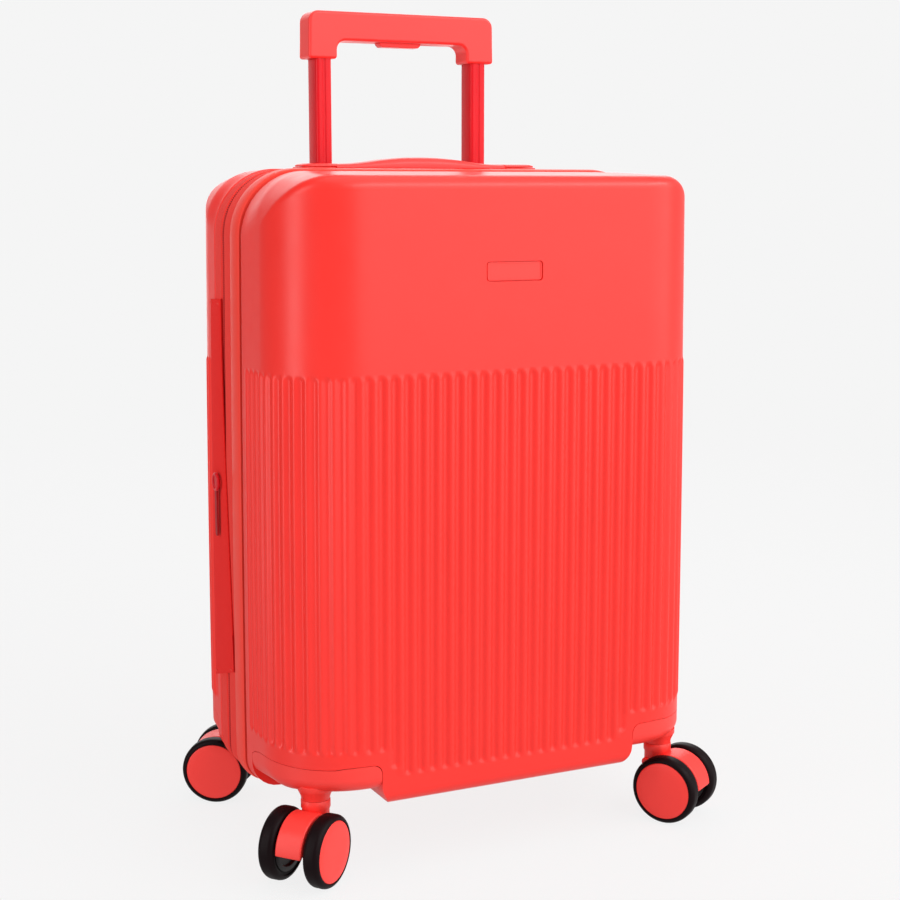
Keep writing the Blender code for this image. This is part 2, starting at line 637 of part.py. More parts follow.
def make_lock(material, dial_material):
    """Lock body with three number wheels and a sliding release, beside the zip."""
    body = rounded_rectangle(LOCK_HALF_DEPTH, LOCK_HALF_HEIGHT, 0.004, (LOCK_Y, LOCK_LEVEL))
    lock = add_object("lock_body", prism(body, "X", LOCK_BACK, LOCK_FACE), material)
    proud = LOCK_FACE + 0.003
    dial_x = LOCK_FACE - DIAL_RADIUS + 0.0008
    profile = [(0, -DIAL_HALF_THICKNESS), (DIAL_RADIUS, -DIAL_HALF_THICKNESS),
               (DIAL_RADIUS, DIAL_HALF_THICKNESS), (0, DIAL_HALF_THICKNESS)]
    reach, half = DIAL_RADIUS + 0.0004, DIAL_HALF_THICKNESS + GAP
    for k in range(3):
        z = LOCK_LEVEL - 0.012 + (k - 1) * DIAL_PITCH
        slot = box((dial_x - reach, LOCK_Y - reach, z - half), (proud, LOCK_Y + reach, z + half))
        cut(lock, add_object(f"dial_slot_{k + 1}", slot))
        add_object(f"lock_dial_{k + 1}", turned(profile, 20), dial_material, location=(dial_x, LOCK_Y, z))
    z = LOCK_LEVEL + 0.018
    half_depth, half_height = 0.0046, 0.0060
    side_gap, travel = 0.0004, 0.0040
    low = (LOCK_FACE - 0.0030, LOCK_Y - half_depth - side_gap, z - half_height - side_gap)
    high = (proud, LOCK_Y + half_depth + side_gap, z + half_height + travel + side_gap)
    cut(lock, add_object("release_slot", box(low, high)))
    shape = rounded_rectangle(half_depth, half_height, 0.0015, (LOCK_Y, z), 2)
    add_object("lock_release", prism(shape, "X", LOCK_FACE - 0.0026, LOCK_FACE + 0.0010), dial_material)


def make_zip_sliders(material):
    """Zip sliders with pull tabs: two parked beside the lock, one on the hinge side."""
    back, face = SLIDER_BACK, SLIDER_BACK + 0.0033
    wide, narrow, half_height = 0.0048, 0.0040, 0.0060
    for name, way in (("zip_slider_upper", 1), ("zip_slider_lower", -1)):
        z = LOCK_LEVEL + way * ZIP_PARK
        head, foot = z + way * half_height, z - way * half_height
        outline = [(ZIP_LINE - wide, head), (ZIP_LINE - narrow, foot),
                   (ZIP_LINE + narrow, foot), (ZIP_LINE + wide, head)]
        body = prism(outline, "X", back, face)
        slider = add_object(name, body, material)
        tab = rounded_rectangle(0.0036, 0.0120, 0.0030, (ZIP_LINE, z + way * 0.0090), 2)
        cut(slider, add_object(name + "_tab", prism(tab, "X", face - 0.0010, face + 0.0010)), "UNION")


def make_expansion_slider(material):
    """Slider of the second zip, on the hinge strip, with its tab hanging down."""
    y, z = 0.0400, 0.2820
    outline = rounded_rectangle(0.0034, 0.0080, 0.0030, (y, z), 2)
    body = prism(outline, "X", STRIP_OUTER - 0.0030, STRIP_OUTER - GAP)
    slider = add_object("expansion_slider", body, material)
    tab = rounded_rectangle(0.0026, 0.0190, 0.0022, (y, z - 0.0230), 2)
    tab = add_object("expansion_tab", prism(tab, "X", STRIP_OUTER - 0.0022, STRIP_OUTER - 0.0008))
    cut(slider, tab, "UNION")


# ---------------------------------------------------------------- casters

def fork_outline():
    """Side view of a fork, trailing towards +Y of the caster: neck, axle boss and strap over the wheels."""
    axle = (TRAIL, TYRE_RADIUS)
    strap_outer, strap_inner, boss = 0.0258, 0.0205, 0.0075
    points = [(-0.0090, FORK_SHOULDER), (-0.0095, 0.0450)]
    points += arc(axle, boss, 195, 345, 5)
    points += arc(axle, boss, 15, 45, 1)
    points += arc(axle, strap_inner, 60, 3, 5)
    points += arc(axle, strap_outer, 0, 110, 8)
    points += [(0.0030, FORK_SHOULDER)]
    return points


def make_caster(name, material, tyre_material, steel):
    """Fork with its kingpin, axle, and two wheels, turned about the stem as it stands."""
    side, back, degrees = CASTERS[name]
    turn = math.radians(degrees)
    stem = Vector((side * STEM_X, (FRONT_STEM_Y if back < 0 else REAR_STEM_Y), 0.0))
    body = prism(fork_outline(), "X", -FORK_HALF_WIDTH, FORK_HALF_WIDTH)
    fork = add_object("fork_" + name, body, material, stem, turn)
    tip = 0.0006
    pin = [(0, NECK_BOTTOM), (NECK_RADIUS, NECK_BOTTOM),
           (NECK_RADIUS, NECK_TOP), (KINGPIN_RADIUS, NECK_TOP),
           (KINGPIN_RADIUS, KINGPIN_TOP - tip), (KINGPIN_RADIUS - tip, KINGPIN_TOP), (0, KINGPIN_TOP)]
    cut(fork, add_object(name + "_kingpin", turned(pin, 20), None, stem, turn), "UNION")
    hole_points = arc((TRAIL, TYRE_RADIUS), AXLE_RADIUS + AXLE_GAP, 0, 360, 16)[:-1]
    cut(fork, add_object(name + "_axle_hole", prism(hole_points, "X", -0.02, 0.02), None, stem, turn))
    turned_to = Matrix.Rotation(turn, 4, "Z")
    axle_turn = turned_to @ Matrix.Rotation(math.pi / 2, 4, "Y")
    centre = stem + turned_to @ Vector((0.0, TRAIL, TYRE_RADIUS))
    half = WHEEL_OFFSET + 0.0037
    pin = turned([(0, -half), (AXLE_RADIUS, -half), (AXLE_RADIUS, half), (0, half)], 16)
    axle = add_object("axle_" + name, pin, steel)
    axle.matrix_world = Matrix.Translation(centre) @ axle_turn
    for way, tag in ((1, "a"), (-1, "b")):
        place = Matrix.Translation(centre + turned_to @ Vector((way * WHEEL_OFFSET, 0, 0)))
        spin = axle_turn if way > 0 else axle_turn @ Matrix.Rotation(math.pi, 4, "X")
        tyre = add_object(f"tyre_{name}_{tag}", tyre_shape(), tyre_material)
        tyre.matrix_world = place @ spin
        hub = add_object(f"hub_{name}_{tag}", hub_shape(), material)
        hub.matrix_world = place @ spin


def tyre_shape():
    """Tyre ring with rounded shoulders and a rebate for the hub cap on its outer side."""
    half, step = TYRE_WIDTH / 2, 0.0017
    inner, cap = HUB_RADIUS + GAP, CAP_RADIUS + 0.0002
    shoulder = [(0.0263, half - 0.0010), (TYRE_RADIUS, half - 0.0038)]
    profile = [(cap, half)] + shoulder + [(r, -h) for r, h in reversed(shoulder)]
    profile += [(cap, -half), (inner, -half), (inner, half - step), (cap, half - step)]
    return turned(profile, 24)


def hub_shape():
    """Wheel centre with its coloured cap outside and a blind bore for the axle from inside."""
    half = TYRE_WIDTH / 2 - 0.0001
    bore, depth = AXLE_RADIUS + AXLE_GAP, 0.0045
    cap, rim, back = CAP_RADIUS - 0.0002, half - 0.0013, -half + 0.0002
    profile = [(0, half), (cap, half), (cap, rim), (HUB_RADIUS, rim),
               (HUB_RADIUS, back), (bore, back), (bore, depth), (0, depth)]
    return turned(profile, 24)


# ---------------------------------------------------------------- assembly

def build():
    clear_scene()
    coral = make_material("coral_shell", CORAL, 0.42)
    light = make_material("coral_trim", CORAL_LIGHT, 0.45)
    tape = make_material("coral_tape", CORAL, 0.75)
    deep = make_material("coral_anodised", CORAL_DEEP, 0.32, 0.6)
    plastic = make_material("coral_plastic", CORAL, 0.38)
    black = make_material("black_rubber", (0.02, 0.01, 0.012), 0.5)
    steel = make_material("axle_steel", (0.55, 0.55, 0.56), 0.3, 1.0)
    lining = make_material("grey_lining", (0.16, 0.16, 0.17), 0.85)
    dark = make_material("lock_plastic", (0.35, 0.03, 0.03), 0.4)

    front = make_shell("front_shell", coral, FRONT_EDGE, FRONT_FACE, FRONT_FILLET, FRONT_TOP, True)
    rear = make_shell("rear_shell", coral, REAR_EDGE, REAR_FACE, REAR_FILLET, REAR_TOP, False)
    for side, tag in ((-1, "left"), (1, "right")):
        make_housing("caster_housing_front_" + tag, plastic, side, True)
        make_housing("caster_housing_rear_" + tag, plastic, side, False)
    make_bands(light, tape)
    make_hinge_strip(tape)
    make_name_plate(plastic, front)
    make_lining("front_lining", lining, ZIP_LINE - 0.0015, FRONT_FACE + 0.0050, FRONT_FILLET, LINING_TOP)
    back = TUBE_Y - OUTER_TUBE[1] - 0.0015
    make_lining("rear_lining", lining, ZIP_LINE + 0.0015, back, REAR_LINING_FILLET, LINING_TOP)
    make_packing_strap(tape)
    make_carry_strap(plastic)
    make_handle_caps(plastic)
    make_tubes(deep)
    make_bezel(plastic, rear)
    make_grip(plastic, plastic)
    make_lock(dark, black)
    make_zip_sliders(deep)
    make_expansion_slider(deep)
    for name in CASTERS:
        make_caster(name, plastic, black, steel)


build()
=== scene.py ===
"""Looks of the hard shell cabin suitcase: fine shells, bands, fabrics, casters, materials, light, camera.

Metres, in the frame of the CAD: -Y is the lid's face, +Y the trolley's, the lid hinges at the left."""

import math

import bmesh
import bpy
import numpy as np
from mathutils import Matrix, Vector


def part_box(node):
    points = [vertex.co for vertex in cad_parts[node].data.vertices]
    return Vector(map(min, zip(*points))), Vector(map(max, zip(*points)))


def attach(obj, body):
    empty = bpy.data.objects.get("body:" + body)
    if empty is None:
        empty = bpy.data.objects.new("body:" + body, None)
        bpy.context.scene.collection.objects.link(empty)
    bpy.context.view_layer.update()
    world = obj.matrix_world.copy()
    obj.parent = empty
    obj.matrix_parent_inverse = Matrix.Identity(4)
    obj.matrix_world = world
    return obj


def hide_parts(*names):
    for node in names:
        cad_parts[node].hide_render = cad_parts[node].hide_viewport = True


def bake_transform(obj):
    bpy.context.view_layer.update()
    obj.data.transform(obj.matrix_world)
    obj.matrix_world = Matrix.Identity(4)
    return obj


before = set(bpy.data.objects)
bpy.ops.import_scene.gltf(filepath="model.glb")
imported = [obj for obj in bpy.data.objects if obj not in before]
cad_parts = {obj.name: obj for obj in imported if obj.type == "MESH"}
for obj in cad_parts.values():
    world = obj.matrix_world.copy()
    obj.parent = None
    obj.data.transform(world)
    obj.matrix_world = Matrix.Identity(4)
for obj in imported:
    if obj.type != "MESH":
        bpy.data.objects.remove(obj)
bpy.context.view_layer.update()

# ------ sizes, in metres, as in the CAD
GAP = 0.0003
HALF_WIDTH, WALL = 0.1797, 0.0026
CROWN, CROWN_LEVEL, CROWN_REACH, CROWN_POWER = 0.0034, 0.100, 0.380, 1.6
TOP_RADIUS, INNER_TOP_RADIUS, BOTTOM_RADIUS, FACE_RADIUS = 0.050, 0.040, 0.022, 0.010
SIDE_DRAFT = math.tan(math.radians(1.0))
FRONT = dict(edge=-0.0145, face=-0.1180, fillet=0.064, top=(0.5240, 0.5202))
REAR = dict(edge=0.0503, face=0.1184, fillet=0.051, top=(0.5262, 0.5165), sag=1.3)
BOTTOM = (0.0495, 0.0560)
BAND_HALF_WIDTH, BAND_TOP, BAND_BOTTOM = 0.1809, 0.5262, 0.0475
TRIM_FRONT, TRIM_BACK, ZIP_LINE, ZIP_GAP = -0.0095, 0.0115, 0.0298, 0.0006
TONGUE, BAND_DEPTH, TONGUE_REACH = 0.0068, 0.0080, 0.0100
POCKET_SIDE, PLATE_LEVEL, NOTCH_FOOT = 0.1080, 0.0668, 0.0960
RELIEF_RADIUS, RELIEF_TOP, BELOW = 0.0425, 0.0560, 0.040
# rounding of the shells' open edges, depth of the name plate's seat
RIM, RECESS_DEPTH = 0.0012, 0.0021
HOUSING_GAP, HOUSING_RADIUS = 0.0004, 0.0080
STEM_X, FRONT_STEM_Y, REAR_STEM_Y = 0.15035, -0.0884, 0.0942
TUBE_X, TUBE_Y = 0.0698, 0.0972
# height of the seam above a caster housing, at some depths from front to back
FRONT_SEAM = ((-0.130, 0.0890), (-0.117, 0.0890), (-0.110, 0.0872), (-0.095, 0.0868), (-0.060, 0.0866),
              (-0.045, 0.0856), (-0.036, 0.0835), (-0.0275, 0.0800))
REAR_SEAM = ((0.0605, 0.0835), (0.068, 0.0860), (0.080, 0.0868), (0.110, 0.0872), (0.130, 0.0890))

# flutes
PITCH, RIDGE, GROOVE = 0.01028, 0.0008, 0.0015
FLUTE_TOP, FLUTE_BOTTOM, FLUTE_OVER_CASTER = 0.3795, 0.0765, 0.0970
# width without flutes beside the open edge; distance of the rows at the flutes' ends
PLAIN_EDGE, ROW = 0.006, 0.0009


# ------ small helpers
def smooth_step(t):
    t = np.clip(t, 0.0, 1.0)
    return t * t * (3 - 2 * t)


def arc(centre, radius, start, end, steps):
    points = []
    for k in range(steps + 1):
        angle = math.radians(start + (end - start) * k / steps)
        points.append((centre[0] + radius * math.cos(angle), centre[1] + radius * math.sin(angle)))
    return points


def rounded_rectangle(half_u, half_v, radius, centre=(0.0, 0.0), steps=8):
    points = []
    for k, (su, sv) in enumerate(((1, 1), (-1, 1), (-1, -1), (1, -1))):
        corner = (centre[0] + su * (half_u - radius), centre[1] + sv * (half_v - radius))
        points += arc(corner, radius, 90 * k, 90 * (k + 1), steps)
    return points


def add_object(name, data):
    obj = bpy.data.objects.new(name, data)
    bpy.context.scene.collection.objects.link(obj)
    return obj


def piece(name, bm, material=None, sharp=35.0):
    """A new object from a bmesh, normals out, smooth with sharp edges."""
    bmesh.ops.recalc_face_normals(bm, faces=bm.faces)
    mesh = bpy.data.meshes.new(name)
    bm.to_mesh(mesh)
    bm.free()
    if material is not None:
        mesh.materials.append(material)
    return shade(add_object(name, mesh), sharp)


def prism(name, outline, axis, low, high, material=None, sharp=35.0):
    """A piece from an outline's two coordinates in order, pushed along the third axis."""
    at = "XYZ".index(axis)
    rings = [[(*point[:at], level, *point[at:]) for point in outline] for level in (low, high)]
    return piece(name, loft(rings), material, sharp)


def slab(name, axis, centre, half, radius, low, high, material=None, steps=8):
    """A plate with rounded corners, from low to high along an axis."""
    outline = rounded_rectangle(*half, radius, centre, steps)
    return prism(name, outline, axis, low, high, material)


def sizes_of(node):
    """A CAD node's lowest and highest corner, middle and half sizes."""
    low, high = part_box(node)
    return low, high, (low + high) / 2, (high - low) / 2


def loft(rings, loop=False):
    """Joins rings of points with the same count into a skin."""
    bm = bmesh.new()
    made = [[bm.verts.new(p) for p in ring] for ring in rings]
    pairs = list(zip(made, made[1:]))
    if loop:
        pairs.append((made[-1], made[0]))
    for a, b in pairs:
        for k in range(len(a)):
            j = (k + 1) % len(a)
            bm.faces.new((a[k], a[j], b[j], b[k]))
    if not loop:
        bm.faces.new(reversed(made[0]))
        bm.faces.new(made[-1])
    return bm


def turned(name, profile, segments, matrix, material=None, sharp=35.0):
    """A piece turned about Z from (radius, height) points, radius 0 closing on the axis, then placed."""
    bm = bmesh.new()
    rings = []
    for radius, height in profile:
        if radius == 0:
            rings.append([bm.verts.new((0, 0, height))] * segments)
            continue
        angles = [2 * math.pi * k / segments for k in range(segments)]
        rings.append([bm.verts.new((radius * math.cos(a), radius * math.sin(a), height)) for a in angles])
    pairs = list(zip(rings, rings[1:]))
    if profile[0][0] > 0 and profile[-1][0] > 0:
        pairs.append((rings[-1], rings[0]))
    for a, b in pairs:
        for k in range(segments):
            j = (k + 1) % segments
            bm.faces.new(list(dict.fromkeys((a[k], a[j], b[j], b[k]))))
    bmesh.ops.transform(bm, matrix=matrix, verts=bm.verts)
    return piece(name, bm, material, sharp)


def shade(obj, sharp):
    """Smooth shading, with edges sharp from that angle on."""
    obj.data.shade_smooth()
    obj.data.set_sharp_from_angle(angle=math.radians(sharp))
    return obj


def settle(obj):
    """Applies an object's modifiers to its mesh."""
    graph = bpy.context.evaluated_depsgraph_get()
    graph.update()
    made = obj.evaluated_get(graph)
    mesh = bpy.data.meshes.new_from_object(made, preserve_all_data_layers=True, depsgraph=graph)
    obj.modifiers.clear()
    obj.data = mesh
    return obj


def cut(obj, cutters, operation="DIFFERENCE"):
    """Cuts a piece with others, which then go."""
    for cutter in cutters:
        modifier = obj.modifiers.new("cut", "BOOLEAN")
        modifier.operation = operation
        modifier.solver = "MANIFOLD"
        modifier.object = cutter
    settle(obj)
    for cutter in cutters:
        bpy.data.objects.remove(cutter, do_unlink=True)
    return obj


def soften(obj, width, segments=3, angle=40.0):
    """Rounds the sharp edges of a piece."""
    modifier = obj.modifiers.new("soften", "BEVEL")
    modifier.width = width
    modifier.segments = segments
    modifier.limit_method = "ANGLE"
    modifier.angle_limit = math.radians(angle)
    shade(settle(obj), 40)
    weighted = obj.modifiers.new("weighted", "WEIGHTED_NORMAL")
    weighted.keep_sharp = True
    return settle(obj)


def finish_piece(obj, body, nodes=()):
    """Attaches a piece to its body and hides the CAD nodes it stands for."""
    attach(obj, body)
    if nodes:
        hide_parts(*nodes)
    return obj


def crowned(x, z):
    """x at height z: the sides lean in a little towards the top."""
    drop = CROWN * (max(0.0, z - CROWN_LEVEL) / CROWN_REACH) ** CROWN_POWER
    return x * (1.0 - drop / HALF_WIDTH)


# ------ materials
def socket(material, name):
    return material.node_tree.nodes["Principled BSDF"].inputs[name]


def new_material(name, roughness, metallic=0.0, specular=0.5, coat=0.0):
    material = bpy.data.materials.new(name)
    material.use_nodes = True
    socket(material, "Roughness").default_value = roughness
    socket(material, "Metallic").default_value = metallic
    socket(material, "Specular IOR Level").default_value = specular
    socket(material, "Coat Weight").default_value = coat
    return material


def add_node(tree, kind, **settings):
    made = tree.nodes.new("ShaderNode" + kind)
    for name, value in settings.items():
        setattr(made, name, value)
    return made


def noise(material, scale, detail=2.0, stretch=(1, 1, 1)):
    tree = material.node_tree
    mapping = add_node(tree, "Mapping")
    mapping.inputs["Scale"].default_value = stretch
    texture = add_node(tree, "TexNoise")
    texture.inputs["Scale"].default_value = scale
    texture.inputs["Detail"].default_value = detail
    tree.links.new(add_node(tree, "TexCoord").outputs["Object"], mapping.inputs["Vector"])
    tree.links.new(mapping.outputs["Vector"], texture.inputs["Vector"])
    return texture.outputs["Fac"]


def ramp(material, source, low, high, start=0.3, end=0.7):
    """Colour or grey from low to high as the source goes from start to end."""
    made = add_node(material.node_tree, "ValToRGB")
    for element, position, colour in zip(made.color_ramp.elements, (start, end), (low, high)):
        element.position = position
        element.color = (*colour, 1.0)
    material.node_tree.links.new(source, made.inputs["Fac"])
    return made.outputs["Color"]


def combine(tree, operation, a, b):
    """A sum or product of a socket and a socket or number."""
    made = add_node(tree, "Math", operation=operation)
    tree.links.new(a, made.inputs[0])
    if isinstance(b, float):
        made.inputs[1].default_value = b
    else:
        tree.links.new(b, made.inputs[1])
    return made.outputs[0]


def map_range(tree, source, from_range, to_range):
    """The source's range taken smoothly to another."""
    made = add_node(tree, "MapRange", interpolation_type="SMOOTHSTEP")
    for name, value in zip(("From Min", "From Max", "To Min", "To Max"), (*from_range, *to_range)):
        made.inputs[name].default_value = value
    tree.links.new(source, made.inputs["Value"])
    return made.outputs["Result"]


def bump(material, height, strength, distance):
    made = add_node(material.node_tree, "Bump")
    made.inputs["Strength"].default_value = strength
    made.inputs["Distance"].default_value = distance
    material.node_tree.links.new(height, made.inputs["Height"])
    return made.outputs["Normal"]


def moulded(name, colour, roughness, grain=2600.0, depth=0.00002, vary=0.05, specular=0.5, coat=0.0):
    """Moulded plastic: very fine grain, a little cloudiness in colour and gloss."""
    material = new_material(name, roughness, specular=specular, coat=coat)
    links = material.node_tree.links
    cloud = noise(material, 14.0, 3.0)
    darker = tuple(c * (1 - vary) for c in colour)
    links.new(ramp(material, cloud, darker, colour), socket(material, "Base Color"))
    shine = ramp(material, noise(material, 60.0, 4.0), (roughness - 0.03,) * 3, (roughness + 0.03,) * 3)
    links.new(shine, socket(material, "Roughness"))
    links.new(bump(material, noise(material, grain, 2.0), 0.35, depth), socket(material, "Normal"))
    return material


def wave(material, scale, axis):
    tree = material.node_tree
    texture = add_node(tree, "TexWave", bands_direction=axis, wave_profile="SIN")
    texture.inputs["Scale"].default_value = scale
    tree.links.new(add_node(tree, "TexCoord").outputs["Object"], texture.inputs["Vector"])
    return texture.outputs["Fac"]


def woven(name, colour, shade_colour, roughness, axes=("Y", "Z"), thread=0.0009):
    """Woven tape or cloth: two crossing thread directions in colour and relief."""
    material = new_material(name, roughness, specular=0.08)
    socket(material, "Sheen Weight").default_value = 0.04
    socket(material, "Sheen Roughness").default_value = 0.4
    tree = material.node_tree
    weave = combine(tree, "MULTIPLY", *[wave(material, 0.5 / thread, axis) for axis in axes])
    fuzz = combine(tree, "MULTIPLY", noise(material, 900.0, 3.0), 0.5)
    height = combine(tree, "ADD", weave, fuzz)
    tree.links.new(ramp(material, height, shade_colour, colour, 0.15, 0.9), socket(material, "Base Color"))
    tree.links.new(bump(material, height, 0.6, 0.00012), socket(material, "Normal"))
    return material


CORAL = (1.0, 0.028, 0.019)
MAT = {
    "shell": moulded("coral_shell", CORAL, 0.35, specular=0.45),
    "trim": moulded("coral_trim", (1.0, 0.062, 0.042), 0.42, specular=0.22),
    "plastic": moulded("coral_plastic", (1.0, 0.046, 0.036), 0.40, grain=3200.0, specular=0.42),
    "handle": moulded("coral_handle", (1.0, 0.044, 0.038), 0.36, specular=0.42),
    "tape": woven("coral_tape", (1.0, 0.075, 0.060), (0.84, 0.034, 0.028), 0.75),
    "strip": woven("coral_strip", (1.0, 0.030, 0.024), (0.80, 0.014, 0.012), 0.80),
    "tube": moulded("coral_anodised", (0.70, 0.006, 0.014), 0.32, grain=900.0, specular=0.22, coat=0.05),
    "rubber": moulded("black_rubber", (0.008, 0.002, 0.003), 0.46, grain=1500.0, vary=0.3, specular=0.10),
    "dark": moulded("lock_plastic", (0.30, 0.012, 0.012), 0.40),
    "black": moulded("lock_black", (0.012, 0.009, 0.010), 0.45, specular=0.3),
    # dark coral painted as the shade in the groove beside the edge trim and the shadow under the hinge
    # strip's front edge
    "groove": moulded("coral_painted_shade", (0.50, 0.004, 0.004), 0.7, specular=0.05),
    # dark red of the zip teeth and the hanging pull tab, deepened as painted shade for the shaded zip split
    # and the tab's shadow
    "pull": moulded("zip_dark_red_painted_shade", (0.40, 0.006, 0.010), 0.45, specular=0.2),
    "webbing": woven("coral_webbing", (0.85, 0.060, 0.050), (0.55, 0.020, 0.018), 0.75, axes=("X", "Z")),
    "steel": new_material("axle_steel", 0.3, metallic=1.0),
    "lining": woven("grey_lining", (0.15, 0.15, 0.16), (0.07, 0.07, 0.075), 0.85, axes=("X", "Z")),
}
steel = MAT["steel"]
steel.node_tree.links.new(ramp(steel, noise(steel, 300.0, 4.0, (1, 1, 8)), (0.42,) * 3, (0.60,) * 3),
                          socket(steel, "Base Color"))


# ------ shells
def plan(spec, inset, reach, spacing, rim):
    """Columns round a shell from its right edge to its left: (x, y, nx, ny, turn, s, inset)."""
    half, edge, face = HALF_WIDTH - inset, spec["edge"], spec["face"]
    toward = math.copysign(1.0, face - edge)
    fillet = spec["fillet"] - inset
    flat, bend = half - fillet, fillet * math.pi / 2
    side = abs(face - toward * inset - edge) - fillet + reach
    total = flat + bend + side
    steps = np.linspace(0, 1, 2 + int(total / spacing))
    stations = [total * t for t in steps if total * (1 - t) > rim]
    rounding = [rim * t for t in (1.0, 0.6, 0.3, 0.1, 0.0)] if rim else [0.0]
    stations += [total - d for d in rounding]
    columns = []
    for s in stations:
        extra = 0.0
        left = total - s
        if rim and left < rim:
            extra = rim - math.sqrt(max(0.0, rim * rim - (rim - left) ** 2))
        if s <= flat:
            point = (s, face - toward * inset, 0.0, toward, 1.0)
        elif s <= flat + bend:
            angle = math.pi / 2 - (s - flat) / fillet
            nx, ny = math.cos(angle), toward * math.sin(angle)
            point = (flat + fillet * nx, face - toward * (inset + fillet) + fillet * ny, nx, ny,
                     angle / (math.pi / 2))
        else:
            point = (half, face - toward * (inset + fillet) - toward * (s - flat - bend), 1.0, 0.0, 0.0)
        columns.append((*point, s, extra))
    right = columns[::-1]
    left = [(-x, y, -nx, ny, turn, -s, extra) for x, y, nx, ny, turn, s, extra in columns[1:]]
    return right + left


def flute_bottom(s):
    """Where the flute at s starts: lower in the middle of the face, higher over the caster housings."""
    rise = (abs(s) - 0.0945) / 0.0085
    return FLUTE_BOTTOM + (FLUTE_OVER_CASTER - FLUTE_BOTTOM) * float(smooth_step(rise))


def capsule(s, z, centre, low, high, radius):
    """1 on the middle line of a round-ended bar from low to high, falling to 0 at its radius."""
    over = max(low + radius - z, z - (high - radius), 0.0)
    distance = math.hypot(s - centre, over)
    return math.cos(min(1.0, distance / radius) * math.pi / 2) ** 2


def flute(s, z, total):
    """Relief at s along the wall and height z: round-ended ridges between round-ended grooves."""
    if abs(s) > total - PLAIN_EDGE or z > FLUTE_TOP + 0.002 or z < FLUTE_BOTTOM - 0.002:
        return 0.0
    k = round(s / PITCH)
    height = RIDGE * capsule(s, z, k * PITCH, flute_bottom(k * PITCH), FLUTE_TOP, PITCH / 2)
    j = math.floor(s / PITCH) + 0.5
    depth = GROOVE * capsule(s, z, j * PITCH, flute_bottom(j * PITCH), FLUTE_TOP, PITCH / 2)
    fade = float(smooth_step((total - PLAIN_EDGE - abs(s)) / PLAIN_EDGE))
    return (height - depth) * fade


def turn_over(x, nx, half, corner, soft, steps):
    """Rows where an upright wall turns over into the top or bottom: (way inwards, drop from the flat).

    The wall stands at x with its normal's x part nx; it meets the corner seen from the front in a
    crease rounded by soft."""
    nx, start, flat = abs(nx), half - corner, 0.0006
    over = max(0.0, (abs(x) - start) / corner)

    def offset(phi):
        length = math.hypot(math.sin(phi), math.cos(phi) / nx)
        return (abs(x) - start - corner * math.sin(phi)) / nx + soft * math.sin(phi) / length, length

    phi = 0.0
    if over > 0 and nx > 0.01 and offset(0.0)[0] > soft:
        low, high = 0.0, math.asin(min(1.0, over))
        for _ in range(30):
            middle = (low + high) / 2
            low, high = (middle, high) if offset(middle)[0] > soft else (low, middle)
        phi = (low + high) / 2
    end, level = 90.0, -soft
    if phi > 0:
        length = offset(phi)[1]
        end = math.degrees(math.atan2(math.cos(phi) / nx / length, -math.sin(phi) / length))
        level = -corner * (1 - math.cos(phi)) - soft * math.cos(phi) / nx / length
    path = arc((soft, level), soft, 180, end, 24)
    if phi > 0:
        for k in range(1, 61):
            part = phi * (1 - k / 60)
            path.append(((abs(x) - start - corner * math.sin(part)) / nx, -corner * (1 - math.cos(part))))
    path.append((path[-1][0] + flat, 0.0))
    path = np.array(path)
    run = np.concatenate(([0.0], np.cumsum(np.hypot(*np.diff(path, axis=0).T))))
    marks = run[-1] * np.linspace(0, 1, steps) ** 1.35
    return list(zip(np.interp(marks, run, path[:, 0]), -np.interp(marks, run, path[:, 1])))


def mid_levels(fluted):
    """Heights of a wall's rows between its two turn overs: close together at the flutes' ends."""
    if not fluted:
        return list(np.linspace(0.0735, 0.470, 12))
    ends = [FLUTE_BOTTOM - 0.003 + ROW * k for k in range(34)]
    middles = list(np.arange(0.108, 0.366, 0.012))
    tops = [FLUTE_TOP - 0.009 + ROW * k for k in range(12)]
    return ends + middles + tops + [0.384, 0.395, 0.415, 0.435, 0.455, 0.470]


def join_columns(bm, grid, stop):
    """Skins columns of vertices into a closed block; stop is the last column before the flat face."""
    last, rows = len(grid) - 1, len(grid[0])
    for i in range(last):
        for j in range(rows - 1):
            bm.faces.new((grid[i][j], grid[i + 1][j], grid[i + 1][j + 1], grid[i][j + 1]))
    for j in (0, rows - 1):
        for i in range(stop):
            bm.faces.new((grid[i][j], grid[i + 1][j], grid[last - 1 - i][j], grid[last - i][j]))
        bm.faces.new([grid[i][j] for i in range(stop, last - stop + 1)])
    for j in range(rows - 1):
        bm.faces.new((grid[0][j], grid[0][j + 1], grid[last][j + 1], grid[last][j]))
    return bm


